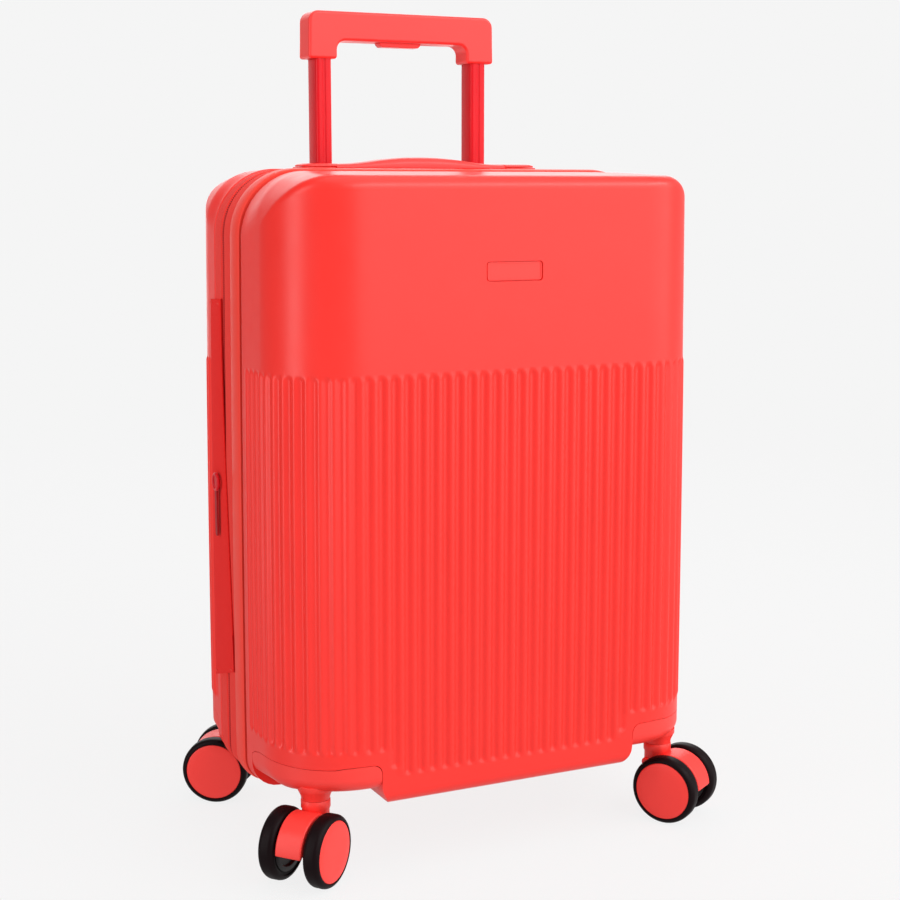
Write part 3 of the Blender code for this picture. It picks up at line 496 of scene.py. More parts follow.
def shell_block(spec, inset=0.0, reach=0.0, spacing=0.001, bottom=BOTTOM, bottom_radius=BOTTOM_RADIUS,
                foot=1.0, fluted=False, rim=0.0, steps=14):
    """A closed block of a shell's outer form, in columns from the bottom to the top."""
    columns = plan(spec, inset, reach, spacing, rim)
    edge, depth = spec["edge"], spec["face"] - spec["edge"]
    total = columns[0][5]
    mids = mid_levels(fluted)
    known, grid = {}, []
    bm = bmesh.new()
    for x, y, nx, ny, turn, s, extra in columns:
        share = max(0.0, min(1.0, (y - edge) / depth))
        sunk = inset + extra
        corner = TOP_RADIUS - (TOP_RADIUS - INNER_TOP_RADIUS) * float(smooth_step(share / 0.35))
        across = 0 if nx == 0 and abs(x) < 0.12 else round(abs(x), 6)
        key = (across, round(abs(nx), 6), extra, round(corner, 6))
        if key not in known:
            size = (abs(x) - abs(nx) * extra, nx, HALF_WIDTH - sunk)
            soft = max(FACE_RADIUS - sunk, 0.0008)
            known[key] = (turn_over(*size, bottom_radius - sunk, soft, steps - 4),
                          turn_over(*size, corner - sunk, soft, steps * 2))
        under, over = known[key]

        def flat(levels, inward, sag=1.0):
            part = max(0.0, min(1.0, (y - ny * inward - edge) / depth))
            return levels[0] + (levels[1] - levels[0]) * part ** sag

        levels = [(d, flat(bottom, d, foot) + sunk + drop) for d, drop in reversed(under)]
        rows_over = [(d, flat(spec["top"], d, spec.get("sag", 1.0)) - sunk - drop) for d, drop in over]
        floor, ceiling, last = levels[-1][1], rows_over[0][1], mids[-1]
        levels += [(0.0, z) for z in [max(floor + 0.0004, mids[0])] + mids[1:]]
        levels += [(0.0, last + (ceiling - last) * t) for t in (0.25, 0.5, 0.75)]
        narrow = 1.0 - SIDE_DRAFT * abs(depth) * share * (1 - turn) / HALF_WIDTH
        column = []
        for inward, z in levels + rows_over:
            push = -inward - extra
            if fluted and inward == 0.0:
                push += flute(s, z, total)
            column.append(bm.verts.new((crowned((x + nx * push) * narrow, z), y + ny * push, z)))
        grid.append(column)
    first_of_face = next(i for i, column in enumerate(columns) if column[4] >= 0.999)
    return join_columns(bm, grid, first_of_face - 1)


def seam_level(seam, y):
    """Height of a seam at depth y."""
    for (y0, z0), (y1, z1) in zip(seam, seam[1:]):
        if y0 <= y <= y1:
            return z0 + (z1 - z0) * float(smooth_step((y - y0) / (y1 - y0)))
    return seam[0][1] if y < seam[0][0] else seam[-1][1]


def pocket(side, seam, grow, low, lower_radius=None):
    """A caster pocket, or with lower_radius the housing that fills it, swept from front to back."""
    outer, corner, inner = 0.21, 0.0075, POCKET_SIDE - grow
    front = seam is FRONT_SEAM
    ends = (seam[0][0] - (0 if front else grow), seam[-1][0] + (grow if front else 0))
    foot, ramp_top = NOTCH_FOOT - grow - 0.0025, PLATE_LEVEL + 0.004
    rings = []
    for y in np.linspace(*ends, 40):
        top = seam_level(seam, min(max(y, seam[0][0]), seam[-1][0])) + grow
        points = [(outer, low), (outer, top)]
        points += arc((inner + corner, top - corner), corner, 90, 180, 8)
        if lower_radius:
            points += arc((inner + lower_radius, low + lower_radius), lower_radius, 180, 270, 8)
        else:
            for t in np.linspace(0, 1, 9):
                across = inner + (foot - inner) * float(smooth_step(t))
                points.append((across, ramp_top + (low - ramp_top) * t))
        rings.append([(side * u, y, v) for u, v in points])
    return loft(rings)


def make_shell(name, node, body, spec, seam):
    """A fluted shell with caster pockets, and a recess for the plate or a seat for the collar."""
    shell = piece(name, shell_block(spec, spacing=0.00105, fluted=True, rim=RIM), MAT["shell"])
    cavity = piece(name + "_cavity", shell_block(spec, inset=WALL, reach=0.004, spacing=0.006))
    cut(cavity, [piece(f"{name}_wall_{side}", pocket(side, seam, WALL, BELOW)) for side in (-1, 1)])
    cutters = [piece(f"{name}_pocket_{side}", pocket(side, seam, 0.0, BELOW)) for side in (-1, 1)]
    cutters.append(cavity)
    if node == "front_shell":
        _, _, middle, half = sizes_of("name_plate")
        where, size = (middle.x, middle.z), (half.x + GAP, half.z + GAP)
        outside, floor = spec["face"] - 0.002, spec["face"] + RECESS_DEPTH
        cutters.append(slab("recess", "Y", where, size, 0.0026, outside, floor))
    else:
        low, _, _, half = sizes_of("trolley_bezel")
        size = (half.x + GAP, half.y + GAP)
        cutters.append(slab("seat", "Z", (0.0, TUBE_Y), size, 0.005, low.z - 0.002, 0.56))
        arch = [(0, BELOW), (RELIEF_RADIUS, BELOW), (RELIEF_RADIUS, RELIEF_TOP), (0, RELIEF_TOP)]
        for side in (-1, 1):
            matrix = Matrix.Translation((side * STEM_X, REAR_STEM_Y, 0))
            cutters.append(turned(f"relief_{side}", arch, 96, matrix))
    cut(shell, cutters)
    return finish_piece(shade(shell, 32), body, [node])


make_shell("lid_shell", "front_shell", "lid", FRONT, FRONT_SEAM)
make_shell("case_shell", "rear_shell", "case", REAR, REAR_SEAM)


# ------ caster housings
def make_housing(name, side, spec, seam, body, node):
    """Corner housing: follows the shell's outside, soft seam edge, collar over the stem."""
    housing = piece(name, pocket(side, seam, -HOUSING_GAP, PLATE_LEVEL, HOUSING_RADIUS), MAT["plastic"])
    underside = dict(bottom=(0.0500, 0.0690), bottom_radius=0.016, foot=0.35)
    form = shell_block(spec, spacing=0.003, reach=0.02, **underside)
    cut(housing, [piece("form", form)], "INTERSECT")
    soften(housing, 0.0007, 2, 50.0)
    stem_y = FRONT_STEM_Y if spec is FRONT else REAR_STEM_Y
    stem = Matrix.Translation((side * STEM_X, stem_y, 0))
    collar = [(0.0055, 0.0600), (0.0108, 0.0600), (0.0113, 0.0627), (0.0134, 0.0671), (0.0139, 0.0680),
              (0.0139, 0.0720), (0.0055, 0.0720)]
    finish_piece(turned(name + "_collar", collar, 64, stem, MAT["plastic"]), body)
    return finish_piece(housing, body, [node])


for side, tag in ((-1, "left"), (1, "right")):
    make_housing("housing_front_" + tag, side, FRONT, FRONT_SEAM, "lid", "caster_housing_front_" + tag)
    make_housing("housing_rear_" + tag, side, REAR, REAR_SEAM, "case", "caster_housing_rear_" + tag)


# ------ bands
def band_outline(corner_steps=16, side_steps=14):
    """The bands' outline in the front view with outward normals: (x, z, nx, nz)."""
    corners = ((1, BAND_TOP, TOP_RADIUS, 0), (-1, BAND_TOP, TOP_RADIUS, 90),
               (-1, BAND_BOTTOM, BOTTOM_RADIUS, 180), (1, BAND_BOTTOM, BOTTOM_RADIUS, 270))
    points = []
    for side, level, radius, start in corners:
        vertical = 1 if level == BAND_TOP else -1
        centre = (side * (BAND_HALF_WIDTH - radius), level - vertical * radius)
        for k in range(corner_steps + 1):
            angle = math.radians(start + 90 * k / corner_steps)
            nx, nz = math.cos(angle), math.sin(angle)
            points.append((centre[0] + radius * nx, centre[1] + radius * nz, nx, nz))
    dense = []
    for k, point in enumerate(points):
        dense.append(point)
        after = points[(k + 1) % len(points)]
        if math.hypot(point[0] - after[0], point[1] - after[1]) > 0.05:
            for step in range(1, side_steps):
                t = step / side_steps
                dense.append((point[0] + (after[0] - point[0]) * t, point[1] + (after[1] - point[1]) * t,
                              point[2], point[3]))
    return dense


def band(name, section, material):
    """A band round the case; its section is (y, depth below the outline) points."""
    rings = []
    for x, z, nx, nz in band_outline():
        rings.append([(crowned(x - nx * d, z - nz * d), y, z - nz * d) for y, d in section])
    return piece(name, loft(rings, loop=True), material)


def make_bands():
    """Edge trim on its tongue, painted dark as the shade in the groove beside the trim, and the two zip
    tapes.
    """
    width = TRIM_BACK - TRIM_FRONT
    trim = []
    for k in range(17):
        t = k / 16
        crown = 0.0016 * (1 - (2 * t - 1) ** 2) ** 0.5 if 0 < t < 1 else 0.0
        trim.append((TRIM_FRONT + width * t, 0.0016 - crown))
    trim += [(TRIM_BACK, BAND_DEPTH), (TRIM_FRONT, BAND_DEPTH)]
    low, high = FRONT["edge"] - TONGUE_REACH, TRIM_FRONT - 0.0001
    tongue = [(low, TONGUE), (high, TONGUE), (high, BAND_DEPTH), (low, BAND_DEPTH)]
    # the tongue's dark material is painted shade for the groove between the trim and the shell
    finish_piece(band("trim_tongue", tongue, MAT["groove"]), "lid")
    finish_piece(shade(band("edge_trim", trim, MAT["trim"]), 50), "lid", ["front_trim"])
    split = ZIP_LINE - ZIP_GAP
    front = [(TRIM_BACK + GAP, 0.0016), (TRIM_BACK + 0.0030, 0.0012), (split - 0.0035, 0.0011),
             (split - 0.0028, 0.0019), (split, 0.0022), (split, 0.0034), (TRIM_BACK + GAP, 0.0034)]
    finish_piece(band("zip_tape_front", front, MAT["tape"]), "lid", ["front_zip_band"])
    split = ZIP_LINE + ZIP_GAP
    edge = REAR["edge"]
    rear = [(split, 0.0022), (split + 0.0028, 0.0019), (split + 0.0035, 0.0011), (edge - 0.0030, 0.0012),
            (edge - GAP, 0.0016), (edge - GAP, TONGUE), (edge + 0.0065, TONGUE), (edge + 0.0065, BAND_DEPTH),
            (split, BAND_DEPTH)]
    finish_piece(band("zip_tape_rear", rear, MAT["tape"]), "case", ["rear_zip_band"])


def bead(half_length, half_width, half_height):
    """Points and faces of a small rounded bead: 6 by 3 rings with closed poles."""
    points = [(-half_length, 0.0, 0.0)]
    for u, r in ((-0.6, 0.8), (0.0, 1.0), (0.6, 0.8)):
        for k in range(6):
            angle = math.pi * k / 3
            across, up = r * half_width * math.cos(angle), r * half_height * math.sin(angle)
            points.append((u * half_length, across, up))
    points.append((half_length, 0.0, 0.0))
    faces = [(0, 1 + (k + 1) % 6, 1 + k) for k in range(6)]
    for ring in (0, 6):
        for k in range(6):
            j = (k + 1) % 6
            faces.append((1 + ring + k, 1 + ring + j, 7 + ring + j, 7 + ring + k))
    faces += [(19, 13 + k, 13 + (k + 1) % 6) for k in range(6)]
    return np.array(points), faces


def make_zip_teeth():
    """Coil teeth along both tapes' edges, in one piece for each half."""
    pitch, reach, depth = 0.0017, 0.0015, 0.0022
    outline = band_outline(40, 3)
    path = np.array([(crowned(x - nx * depth, z - nz * depth), z - nz * depth) for x, z, nx, nz in outline])
    closed = np.vstack([path, path[:1]])
    run = np.concatenate(([0.0], np.cumsum(np.hypot(*np.diff(closed, axis=0).T))))
    marks = np.arange(0.0, run[-1], pitch)
    xs, zs = np.interp(marks, run, closed[:, 0]), np.interp(marks, run, closed[:, 1])
    along = np.stack([np.roll(xs, -1) - np.roll(xs, 1), np.roll(zs, -1) - np.roll(zs, 1)], 1)
    along /= np.linalg.norm(along, axis=1)[:, None]
    points, faces = bead(reach, 0.00055, 0.0006)
    for way, body, name in ((-1, "lid", "zip_teeth_front"), (1, "case", "zip_teeth_rear")):
        middle = ZIP_LINE + way * (ZIP_GAP + reach * 0.6)
        made = np.empty((len(marks), len(points), 3))
        made[:, :, 1] = middle + points[None, :, 0]
        for axis, at, unit, out in ((0, xs, along[:, 0], along[:, 1]), (2, zs, along[:, 1], -along[:, 0])):
            made[:, :, axis] = at[:, None] + np.outer(unit, points[:, 1]) + np.outer(out, points[:, 2])
        skin = [tuple(i + k * len(points) for i in face) for k in range(len(marks)) for face in faces]
        mesh = bpy.data.meshes.new(name)
        mesh.from_pydata(made.reshape(-1, 3).tolist(), [], skin)
        mesh.shade_smooth()
        # the teeth's dark red stands partly for the shade in the zip's split: painted shade
        mesh.materials.append(MAT["pull"])
        finish_piece(add_object(name, mesh), body)


make_bands()
make_zip_teeth()


# ------ casters
TRAIL, TYRE_RADIUS, TYRE_WIDTH, WHEEL_OFFSET = 0.0169, 0.0275, 0.0133, 0.01895
CAP_RADIUS, HUB_RADIUS, AXLE_RADIUS, FORK_HALF_WIDTH = 0.0234, 0.0207, 0.0031, 0.0108
# side, depth of the stem, turn of the fork about it in degrees
CASTERS = {"front_left": (-1, FRONT_STEM_Y, 129.86), "front_right": (1, FRONT_STEM_Y, 212.64),
           "rear_left": (-1, REAR_STEM_Y, 58.03), "rear_right": (1, REAR_STEM_Y, -58.03)}


def fork_outline():
    """The fork seen from the side: an arch over the wheels and an arm round the axle."""
    axle = (TRAIL, TYRE_RADIUS)
    outer, inner, boss = 0.0259, 0.0205, 0.0075
    points = [(-0.0080, 0.0466), (-0.0092, 0.0445), (-0.0090, 0.0420)]
    points += arc(axle, boss, 195, 345, 12)
    points += arc(axle, boss, 15, 45, 3)
    points += arc(axle, inner, 60, 3, 14)
    points += arc(axle, outer, 0, 108, 28)
    points += [(0.0030, 0.0472)]
    return points


def tyre_profile():
    """Radius and height points of a tread with a round shoulder."""
    half, inner = TYRE_WIDTH / 2, CAP_RADIUS + 0.0002
    profile = [(HUB_RADIUS + GAP, half - 0.0012), (inner, half - 0.0010), (inner, half - 0.0002),
               (inner + 0.0004, half)]
    for angle in np.radians(np.linspace(90, 0, 11)):
        profile.append((TYRE_RADIUS - 0.0040 * (1 - math.cos(angle)), half - 0.0044 * (1 - math.sin(angle))))
    return profile + [(u, -v) for u, v in reversed(profile)]


def hub_profile():
    """Plain cover on the wheel's outer side."""
    half, cap = TYRE_WIDTH / 2 + 0.0001, CAP_RADIUS - 0.0001
    return [(0, half + 0.0003), (0.0080, half + 0.00027), (0.0160, half + 0.00012),
            (cap - 0.0010, half - 0.0001), (cap - 0.0004, half - 0.0003), (cap, half - 0.0008),
            (cap, half - 0.0012), (HUB_RADIUS, half - 0.0014), (0, half - 0.0014)]


def hub_back_profile():
    """The hub behind its cover, open towards the axle, with a ring groove on the fork's side."""
    half, bore = TYRE_WIDTH / 2, AXLE_RADIUS + 0.0004
    return [(0, half - 0.0015), (HUB_RADIUS, half - 0.0015), (HUB_RADIUS, -half + 0.0006),
            (HUB_RADIUS - 0.0006, -half + 0.0002), (0.0170, -half + 0.0002), (0.0160, -half + 0.0022),
            (0.0085, -half + 0.0022), (0.0075, -half + 0.0002), (bore, -half + 0.0002), (bore, 0.0045),
            (0, 0.0045)]


def make_caster(name):
    """A twin-wheel caster: fork with neck on the stem, two wheels of tread, cover and hub."""
    side, stem_y, degrees = CASTERS[name]
    turn = Matrix.Rotation(math.radians(degrees), 4, "Z")
    stem = Matrix.Translation((side * STEM_X, stem_y, 0)) @ turn
    sides = (-FORK_HALF_WIDTH, FORK_HALF_WIDTH)
    fork = prism("caster_fork_" + name, fork_outline(), "X", *sides, MAT["plastic"])
    soften(fork, 0.0012, 3, 30.0)
    fork.data.transform(stem)
    finish_piece(fork, "caster_" + name, ["fork_" + name])
    neck = [(0, 0.0440), (0.0104, 0.0440), (0.0104, 0.0520), (0.0112, 0.0535), (0.0112, 0.0590),
            (0.0108, 0.0597), (0, 0.0597)]
    finish_piece(turned("caster_neck_" + name, neck, 64, stem, MAT["plastic"]), "caster_" + name)
    axle_turn = Matrix.Rotation(math.pi / 2, 4, "Y")
    for way, tag in ((1, "a"), (-1, "b")):
        where = stem @ Matrix.Translation((way * WHEEL_OFFSET, TRAIL, TYRE_RADIUS)) @ axle_turn
        if way < 0:
            where = where @ Matrix.Rotation(math.pi, 4, "X")
        body = f"wheel_{name}_{tag}"
        tyre = turned(f"tread_{name}_{tag}", tyre_profile(), 96, where, MAT["rubber"], 50)
        finish_piece(tyre, body, [f"tyre_{name}_{tag}"])
        hub = turned(f"hub_cap_{name}_{tag}", hub_profile(), 72, where, MAT["plastic"], 40)
        finish_piece(hub, body, [f"hub_{name}_{tag}"])
        back = turned(f"hub_back_{name}_{tag}", hub_back_profile(), 72, where, MAT["black"], 40)
        finish_piece(back, body)


for name in CASTERS:
    make_caster(name)


# ------ trolley
INNER_TUBE, MID_TUBE, OUTER_TUBE = (0.0069, 0.0105), (0.0083, 0.0120), (0.0098, 0.0136)
GRIP_HALF_WIDTH, GRIP_HALF_DEPTH, GRIP_LEG = 0.0826, 0.0122, 0.0242
GRIP_BOTTOM, GRIP_TOP, BAR_BOTTOM = 0.6150, 0.6530, 0.6298
BUTTON_HALF_DEPTH = 0.0054


def grooved_tube(half, groove, centre):
    """Outline and bore of a tube with a shallow groove down the middle of its front and back."""
    hu, hv = half
    wall, radius, depth = 0.0011, 0.0030, 0.0006
    outline = rounded_rectangle(hu, hv, radius, (0, 0), 6)
    dip = ((-groove - 0.0004, 0), (-groove, -0.5), (-groove * 0.7, -1), (groove * 0.7, -1), (groove, -0.5),
           (groove + 0.0004, 0))
    made = []
    for (u, v), (next_u, next_v) in zip(outline, outline[1:] + outline[:1]):
        made.append((u, v))
        flat = abs(v - next_v) < 1e-9 and abs(abs(v) - hv) < 1e-9
        if flat and abs(u - next_u) > groove * 2:
            way = math.copysign(1, next_u - u)
            made += [(way * du, v + math.copysign(depth, v) * dv) for du, dv in dip]
    inner = rounded_rectangle(hu - wall, hv - wall, radius - wall, (0, 0), 4)
    return [[(u + centre[0], v + centre[1]) for u, v in line] for line in (made, inner)]


def make_tube(name, half, x, groove, node, body):
    """A hollow trolley tube at x, as long as its CAD node."""
    low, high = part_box(node)
    outer, inner = grooved_tube(half, groove, (x, TUBE_Y))
    tube = prism(name, outer, "Z", low.z, high.z, MAT["tube"])
    cut(tube, [prism(name + "_hollow", inner, "Z", low.z - 0.01, high.z + 0.01)])
    finish_piece(shade(tube, 35), body, [node])


for side, tag in ((-1, "left"), (1, "right")):
    for kind, half, groove, body in (("inner", INNER_TUBE, 0.0011, "trolley_upper"),
                                     ("mid", MID_TUBE, 0.0013, "trolley_mid"),
                                     ("outer", OUTER_TUBE, 0.0013, "case")):
        make_tube(f"trolley_tube_{kind}_{tag}", half, side * TUBE_X, groove, f"{kind}_tube_{tag}", body)


def tube_slots(tube, low, high):
    """Cutters for the two tubes of a size to pass."""
    size = (tube[0] + GAP, tube[1] + GAP)
    slots = []
    for side in (-1, 1):
        slots.append(slab(f"slot_{side}", "Z", (side * TUBE_X, TUBE_Y), size, 0.0033, low, high, steps=6))
    return slots


def make_grip():
    """Pull handle: a bar between two legs that the inner tubes stand in."""
    radius, inner_radius = 0.0085, 0.0075
    inside = GRIP_HALF_WIDTH - GRIP_LEG
    right = [(GRIP_HALF_WIDTH + 0.0006, GRIP_BOTTOM), (GRIP_HALF_WIDTH + 0.0002, 0.6300)]
    right += arc((GRIP_HALF_WIDTH - radius, GRIP_TOP - radius), radius, 0, 90, 14)
    right_inner = arc((inside - inner_radius, BAR_BOTTOM - inner_radius), inner_radius, 90, 0, 10)
    left = [(-u, v) for u, v in reversed(right)]
    left_inner = [(-u, v) for u, v in reversed(right_inner)]
    outline = right + left + [(-inside, GRIP_BOTTOM)] + left_inner + right_inner + [(inside, GRIP_BOTTOM)]
    depths = (TUBE_Y - GRIP_HALF_DEPTH, TUBE_Y + GRIP_HALF_DEPTH)
    grip = soften(prism("pull_grip", outline, "Y", *depths, MAT["handle"]), 0.0024, 4, 60.0)
    low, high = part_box("grip_button")
    corners = [(low.x - GAP, low.y - GAP), (high.x + GAP, low.y - GAP), (high.x + GAP, high.y + GAP),
               (low.x - GAP, high.y + GAP)]
    pocket_above = prism("button_pocket", corners, "Z", 0.61, high.z + 0.0046)
    cut(grip, tube_slots(INNER_TUBE, 0.60, 0.6228) + [pocket_above])
    finish_piece(shade(grip, 38), "trolley_upper", ["trolley_grip"])


def make_button():
    """Push button under the grip's bar."""
    half, bottom, top, edge = 0.0186, 0.6263, 0.6362, 0.0022
    shape = [(-half, top), (-half, bottom + edge), (-half + edge, bottom), (half - edge, bottom),
             (half, bottom + edge), (half, top)]
    depths = (TUBE_Y - BUTTON_HALF_DEPTH, TUBE_Y + BUTTON_HALF_DEPTH)
    button = soften(prism("push_button", shape, "Y", *depths, MAT["handle"]), 0.0006, 2, 30.0)
    finish_piece(button, "grip_button", ["grip_button"])


def make_bezel():
    """Collar in the case's top round both tubes."""
    low, high, _, half = sizes_of("trolley_bezel")
    where, size = (0.0, TUBE_Y), (half.x, half.y)
    bezel = slab("tube_collar", "Z", where, size, 0.005, low.z, high.z - 0.0062, MAT["plastic"])
    cut(soften(bezel, 0.0008, 3, 50.0), tube_slots(MID_TUBE, 0.50, 0.54))
    finish_piece(shade(bezel, 40), "case", ["trolley_bezel"])


make_grip()
make_button()
make_bezel()


# ------ hinge strip and the slider on it
# the last size is the width of the band of painted shadow in front of the strip's edge
STRIP_LOW, STRIP_HIGH, STRIP_BACK, SHADOW_LINE_WIDTH = 0.1205, 0.4265, 0.0600, 0.0013


def strip_front(z):
    """Front edge of the strip: it drifts forwards on its way down."""
    return 0.0340 - 0.0225 * float(smooth_step((STRIP_HIGH - z) / (STRIP_HIGH - STRIP_LOW + 0.03)))


def strip_ring(z):
    """The strip's cross-section near height z, first the narrow band of painted shadow that lies on the tape
    in front of its edge.
    """
    front = strip_front(z)
    depth = STRIP_BACK - front
    dip = 0.0130 * float(smooth_step((0.170 - z) / 0.050))
    outer, inner = [], []
    for k, y in enumerate([front - SHADOW_LINE_WIDTH, front - 0.0001] + list(front + depth * np.linspace(0, 1, 15))):
        share = (y - front) / depth
        swell = 0.0006 * math.sin(math.pi * min(1.0, max(0.0, share))) ** 0.5
        lift = 0.1800 if k < 2 else 0.1806 + swell
        level = z + dip * max(0.0, 1 - share) - 0.0015 * share
        outer.append((-crowned(lift, level), y, level))
        inner.append((-crowned(0.1797, level), y, level))
    return outer + inner[::-1]


def make_hinge_strip():
    """Woven strip sewn over the zip line on the hinge side."""
    levels = np.linspace(STRIP_LOW, STRIP_HIGH, 90)
    strip = piece("hinge_strip", loft([strip_ring(z) for z in levels]), MAT["strip"], 60)
    # faces in front of the strip's edge take the dark material: a painted shadow line where the strip's edge
    # stands off the zip tape
    strip.data.materials.append(MAT["groove"])
    for face in strip.data.polygons:
        if face.center.y < strip_front(face.center.z) - 0.0001:
            face.material_index = 1
    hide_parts("hinge_strip_lid", "hinge_strip_case")
    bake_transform(strip)
    for name, y, z, body in (("a", 0.0385, 0.4225, "case"), ("b", 0.0560, 0.4225, "case"),
                             ("c", 0.0165, 0.1345, "lid"), ("d", 0.0560, 0.1235, "case")):
        x, size = -crowned(0.1812, z), (0.0028, 0.0006)
        tack = slab("bar_tack_" + name, "X", (y, z), size, 0.0005, x - 0.0003, x + 0.0006, MAT["tape"], 4)
        finish_piece(tack, body)


def make_expansion_slider():
    """Puller of the second zip: ring, body and hanging tab."""
    _, high, middle, _ = sizes_of("expansion_slider")
    x, y, z = -0.1830, middle.y, high.z - 0.0080
    wire, ring_radius = 0.0013, 0.0062
    section = []
    for angle in np.linspace(0, 2 * math.pi, 17)[:-1]:
        section.append((ring_radius + wire * math.cos(angle), wire * math.sin(angle)))
    turn = Matrix.Translation((x, y, z)) @ Matrix.Rotation(math.pi / 2, 4, "Y")
    ring = turned("expansion_ring", section, 48, turn, MAT["tube"])
    finish_piece(ring, "expansion_slider", ["expansion_slider"])
    size = (0.0030, 0.0060)
    body = slab("expansion_body", "X", (y, z), size, 0.0024, x - 0.0005, x + 0.0010, MAT["tube"])
    finish_piece(soften(body, 0.0004, 2), "expansion_slider")
    size = (0.0026, 0.0190)
    # the tab's dark red is deepened as painted shade: it hangs in shadow
    tab = slab("expansion_pull", "X", (y, z - 0.0245), size, 0.0022, x - 0.0006, x + 0.0008, MAT["pull"])
    finish_piece(soften(tab, 0.0004, 2), "expansion_slider")


# ------ carry handle
STRAP_Y, STRAP_HALF_DEPTH, STRAP_HALF_LENGTH = 0.0584, 0.0125, 0.1035
STRAP_UNDERSIDE, STRAP_END_TOP, STRAP_MID_TOP, CAP_TOP = 0.5267, 0.5306, 0.5359, 0.5280


def strap_ring(x):
    """Cross-section of the flexible handle at x: flat underneath, domed on top, rounded nose."""
    left, nose_length, squareness = STRAP_HALF_LENGTH - abs(x), 0.0060, 0.62
    nose = math.sqrt(max(0.0, 1 - (max(0.0, nose_length - left) / nose_length) ** 2))
    rise = float(smooth_step(1 - (abs(x) / 0.068) ** 1.3)) if abs(x) < 0.068 else 0.0
    top = STRAP_END_TOP + (STRAP_MID_TOP - STRAP_END_TOP) * rise
    bottom = CAP_TOP if abs(x) > 0.0752 else STRAP_UNDERSIDE
    half = STRAP_HALF_DEPTH - 0.0050 * (1 - nose)
    height = (top - bottom) * (0.35 + 0.65 * nose) - 0.0006
    points = []
    for k in range(25):
        angle = math.pi * k / 24
        u, v = math.cos(angle), math.sin(angle)
        across = half * math.copysign(abs(u) ** squareness, u)
        points.append((x, STRAP_Y + across, bottom + 0.0006 + height * v ** squareness))
    points += [(x, STRAP_Y - half + 0.0008, bottom), (x, STRAP_Y + half - 0.0008, bottom)]
    return points


def make_carry_strap():
    """Flexible handle in two halves, and its end anchors on the case."""
    marks = list(np.linspace(0, 0.0751, 46)) + [0.0753] + list(np.linspace(0.078, 0.0970, 8))
    marks += [STRAP_HALF_LENGTH - 0.0060 * (1 - math.sin(a)) for a in np.linspace(0.05, math.pi / 2, 9)]
    for side, tag in ((-1, "left"), (1, "right")):
        half = piece("carry_strap_" + tag, loft([strap_ring(side * x) for x in marks]), MAT["handle"], 45)
        if side < 0:
            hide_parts("carry_strap")
        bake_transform(half)
        low, high, middle, size = sizes_of("handle_cap_" + tag)
        where, size = (middle.x, middle.y), (size.x, size.y)
        cap = slab("strap_anchor_" + tag, "Z", where, size, 0.004, low.z, high.z, MAT["plastic"])
        finish_piece(soften(cap, 0.0004, 2), "case", ["handle_cap_" + tag])


# ------ plate, linings, packing straps
def make_name_plate():
    """Blank plate on the lid's face: a raised rim round a flat field."""
    _, _, middle, half = sizes_of("name_plate")
    centre, face = (middle.x, middle.z), FRONT["face"] + 0.0003
    size = (half.x - 0.0004, half.z - 0.0004)
    plate = slab("front_plate", "Y", centre, size, 0.0021, face, face + 0.0017, MAT["plastic"])
    size = (half.x - 0.0013, half.z - 0.0013)
    cut(soften(plate, 0.0003, 3), [slab("field", "Y", centre, size, 0.0014, face - 0.002, face + 0.0004)])
    finish_piece(shade(plate, 35), "lid", ["name_plate"])


def make_lining(name, node, body):
    """Thin fabric tray with shallow ripples, inside a shell and above the caster pockets."""
    low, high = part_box(node)
    inset = HALF_WIDTH - high.x
    front = body == "lid"
    edge, face = (high.y, low.y) if front else (low.y, high.y)
    toward = math.copysign(1.0, face - edge)
    top, levels = (high.z + inset,) * 2, (low.z - inset,) * 2
    spec = dict(edge=edge, face=face + toward * inset, fillet=0.047 + inset, top=top)
    tray = piece(name, shell_block(spec, inset=inset, spacing=0.008, bottom=levels), MAT["lining"])
    inside = shell_block(spec, inset=inset + 0.0012, reach=0.006, spacing=0.008, bottom=levels)
    cut(tray, [piece("inside", inside)])
    for vertex in tray.data.vertices:
        x, y, z = vertex.co
        ripple = math.sin(62 * x + 9 * math.sin(14 * z)) * math.sin(47 * z + 7 * math.sin(11 * x))
        vertex.co.y += toward * 0.0005 * ripple * min(1.0, abs(y - edge) / 0.03)
    shade(tray, 50)
    finish_piece(tray, body, [node])


def webbing(name, start, end, half, y, thick):
    """A flat elastic strap with rounded selvages from start to end in the plane at depth y."""
    start, end = Vector((start[0], 0, start[1])), Vector((end[0], 0, end[1]))
    along = (end - start).normalized()
    across = Vector((-along.z, 0, along.x))
    rings = []
    for t in np.linspace(0, 1, 60):
        middle = start + (end - start) * t
        ring = []
        for u, v in rounded_rectangle(half, thick / 2, thick * 0.45, (0, 0), 3):
            point = middle + across * u
            ring.append((point.x, y + thick / 2 + v, point.z))
        rings.append(ring)
    return piece(name, loft(rings), MAT["webbing"], 60)


def make_packing_straps():
    low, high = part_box("packing_strap")
    centre, reach = 0.300, (0.150, 0.200)
    half_width, level, thick, layer = 0.0125, 0.0335, 0.0010, 0.0011
    for k, tilt in enumerate((1, -1)):
        ends = ((-reach[0], centre - tilt * reach[1]), (reach[0], centre + tilt * reach[1]))
        strap = webbing(f"packing_strap_{k + 1}", *ends, half_width, level + layer * k, thick)
        finish_piece(strap, "case", ["packing_strap"] if k == 0 else [])
    size, where = (0.026, 0.020), (0.0, centre)
    buckle = slab("packing_buckle", "Y", where, size, 0.006, low.y, high.y, MAT["black"])
    slots, size, depths = [], (0.0016, 0.012), (low.y - 0.01, low.y + 0.0006)
    for side in (-1, 1):
        slots.append(slab(f"buckle_slot_{side}", "Y", (side * 0.020, centre), size, 0.0012, *depths, steps=4))
    finish_piece(cut(soften(buckle, 0.0008, 3), slots), "case")


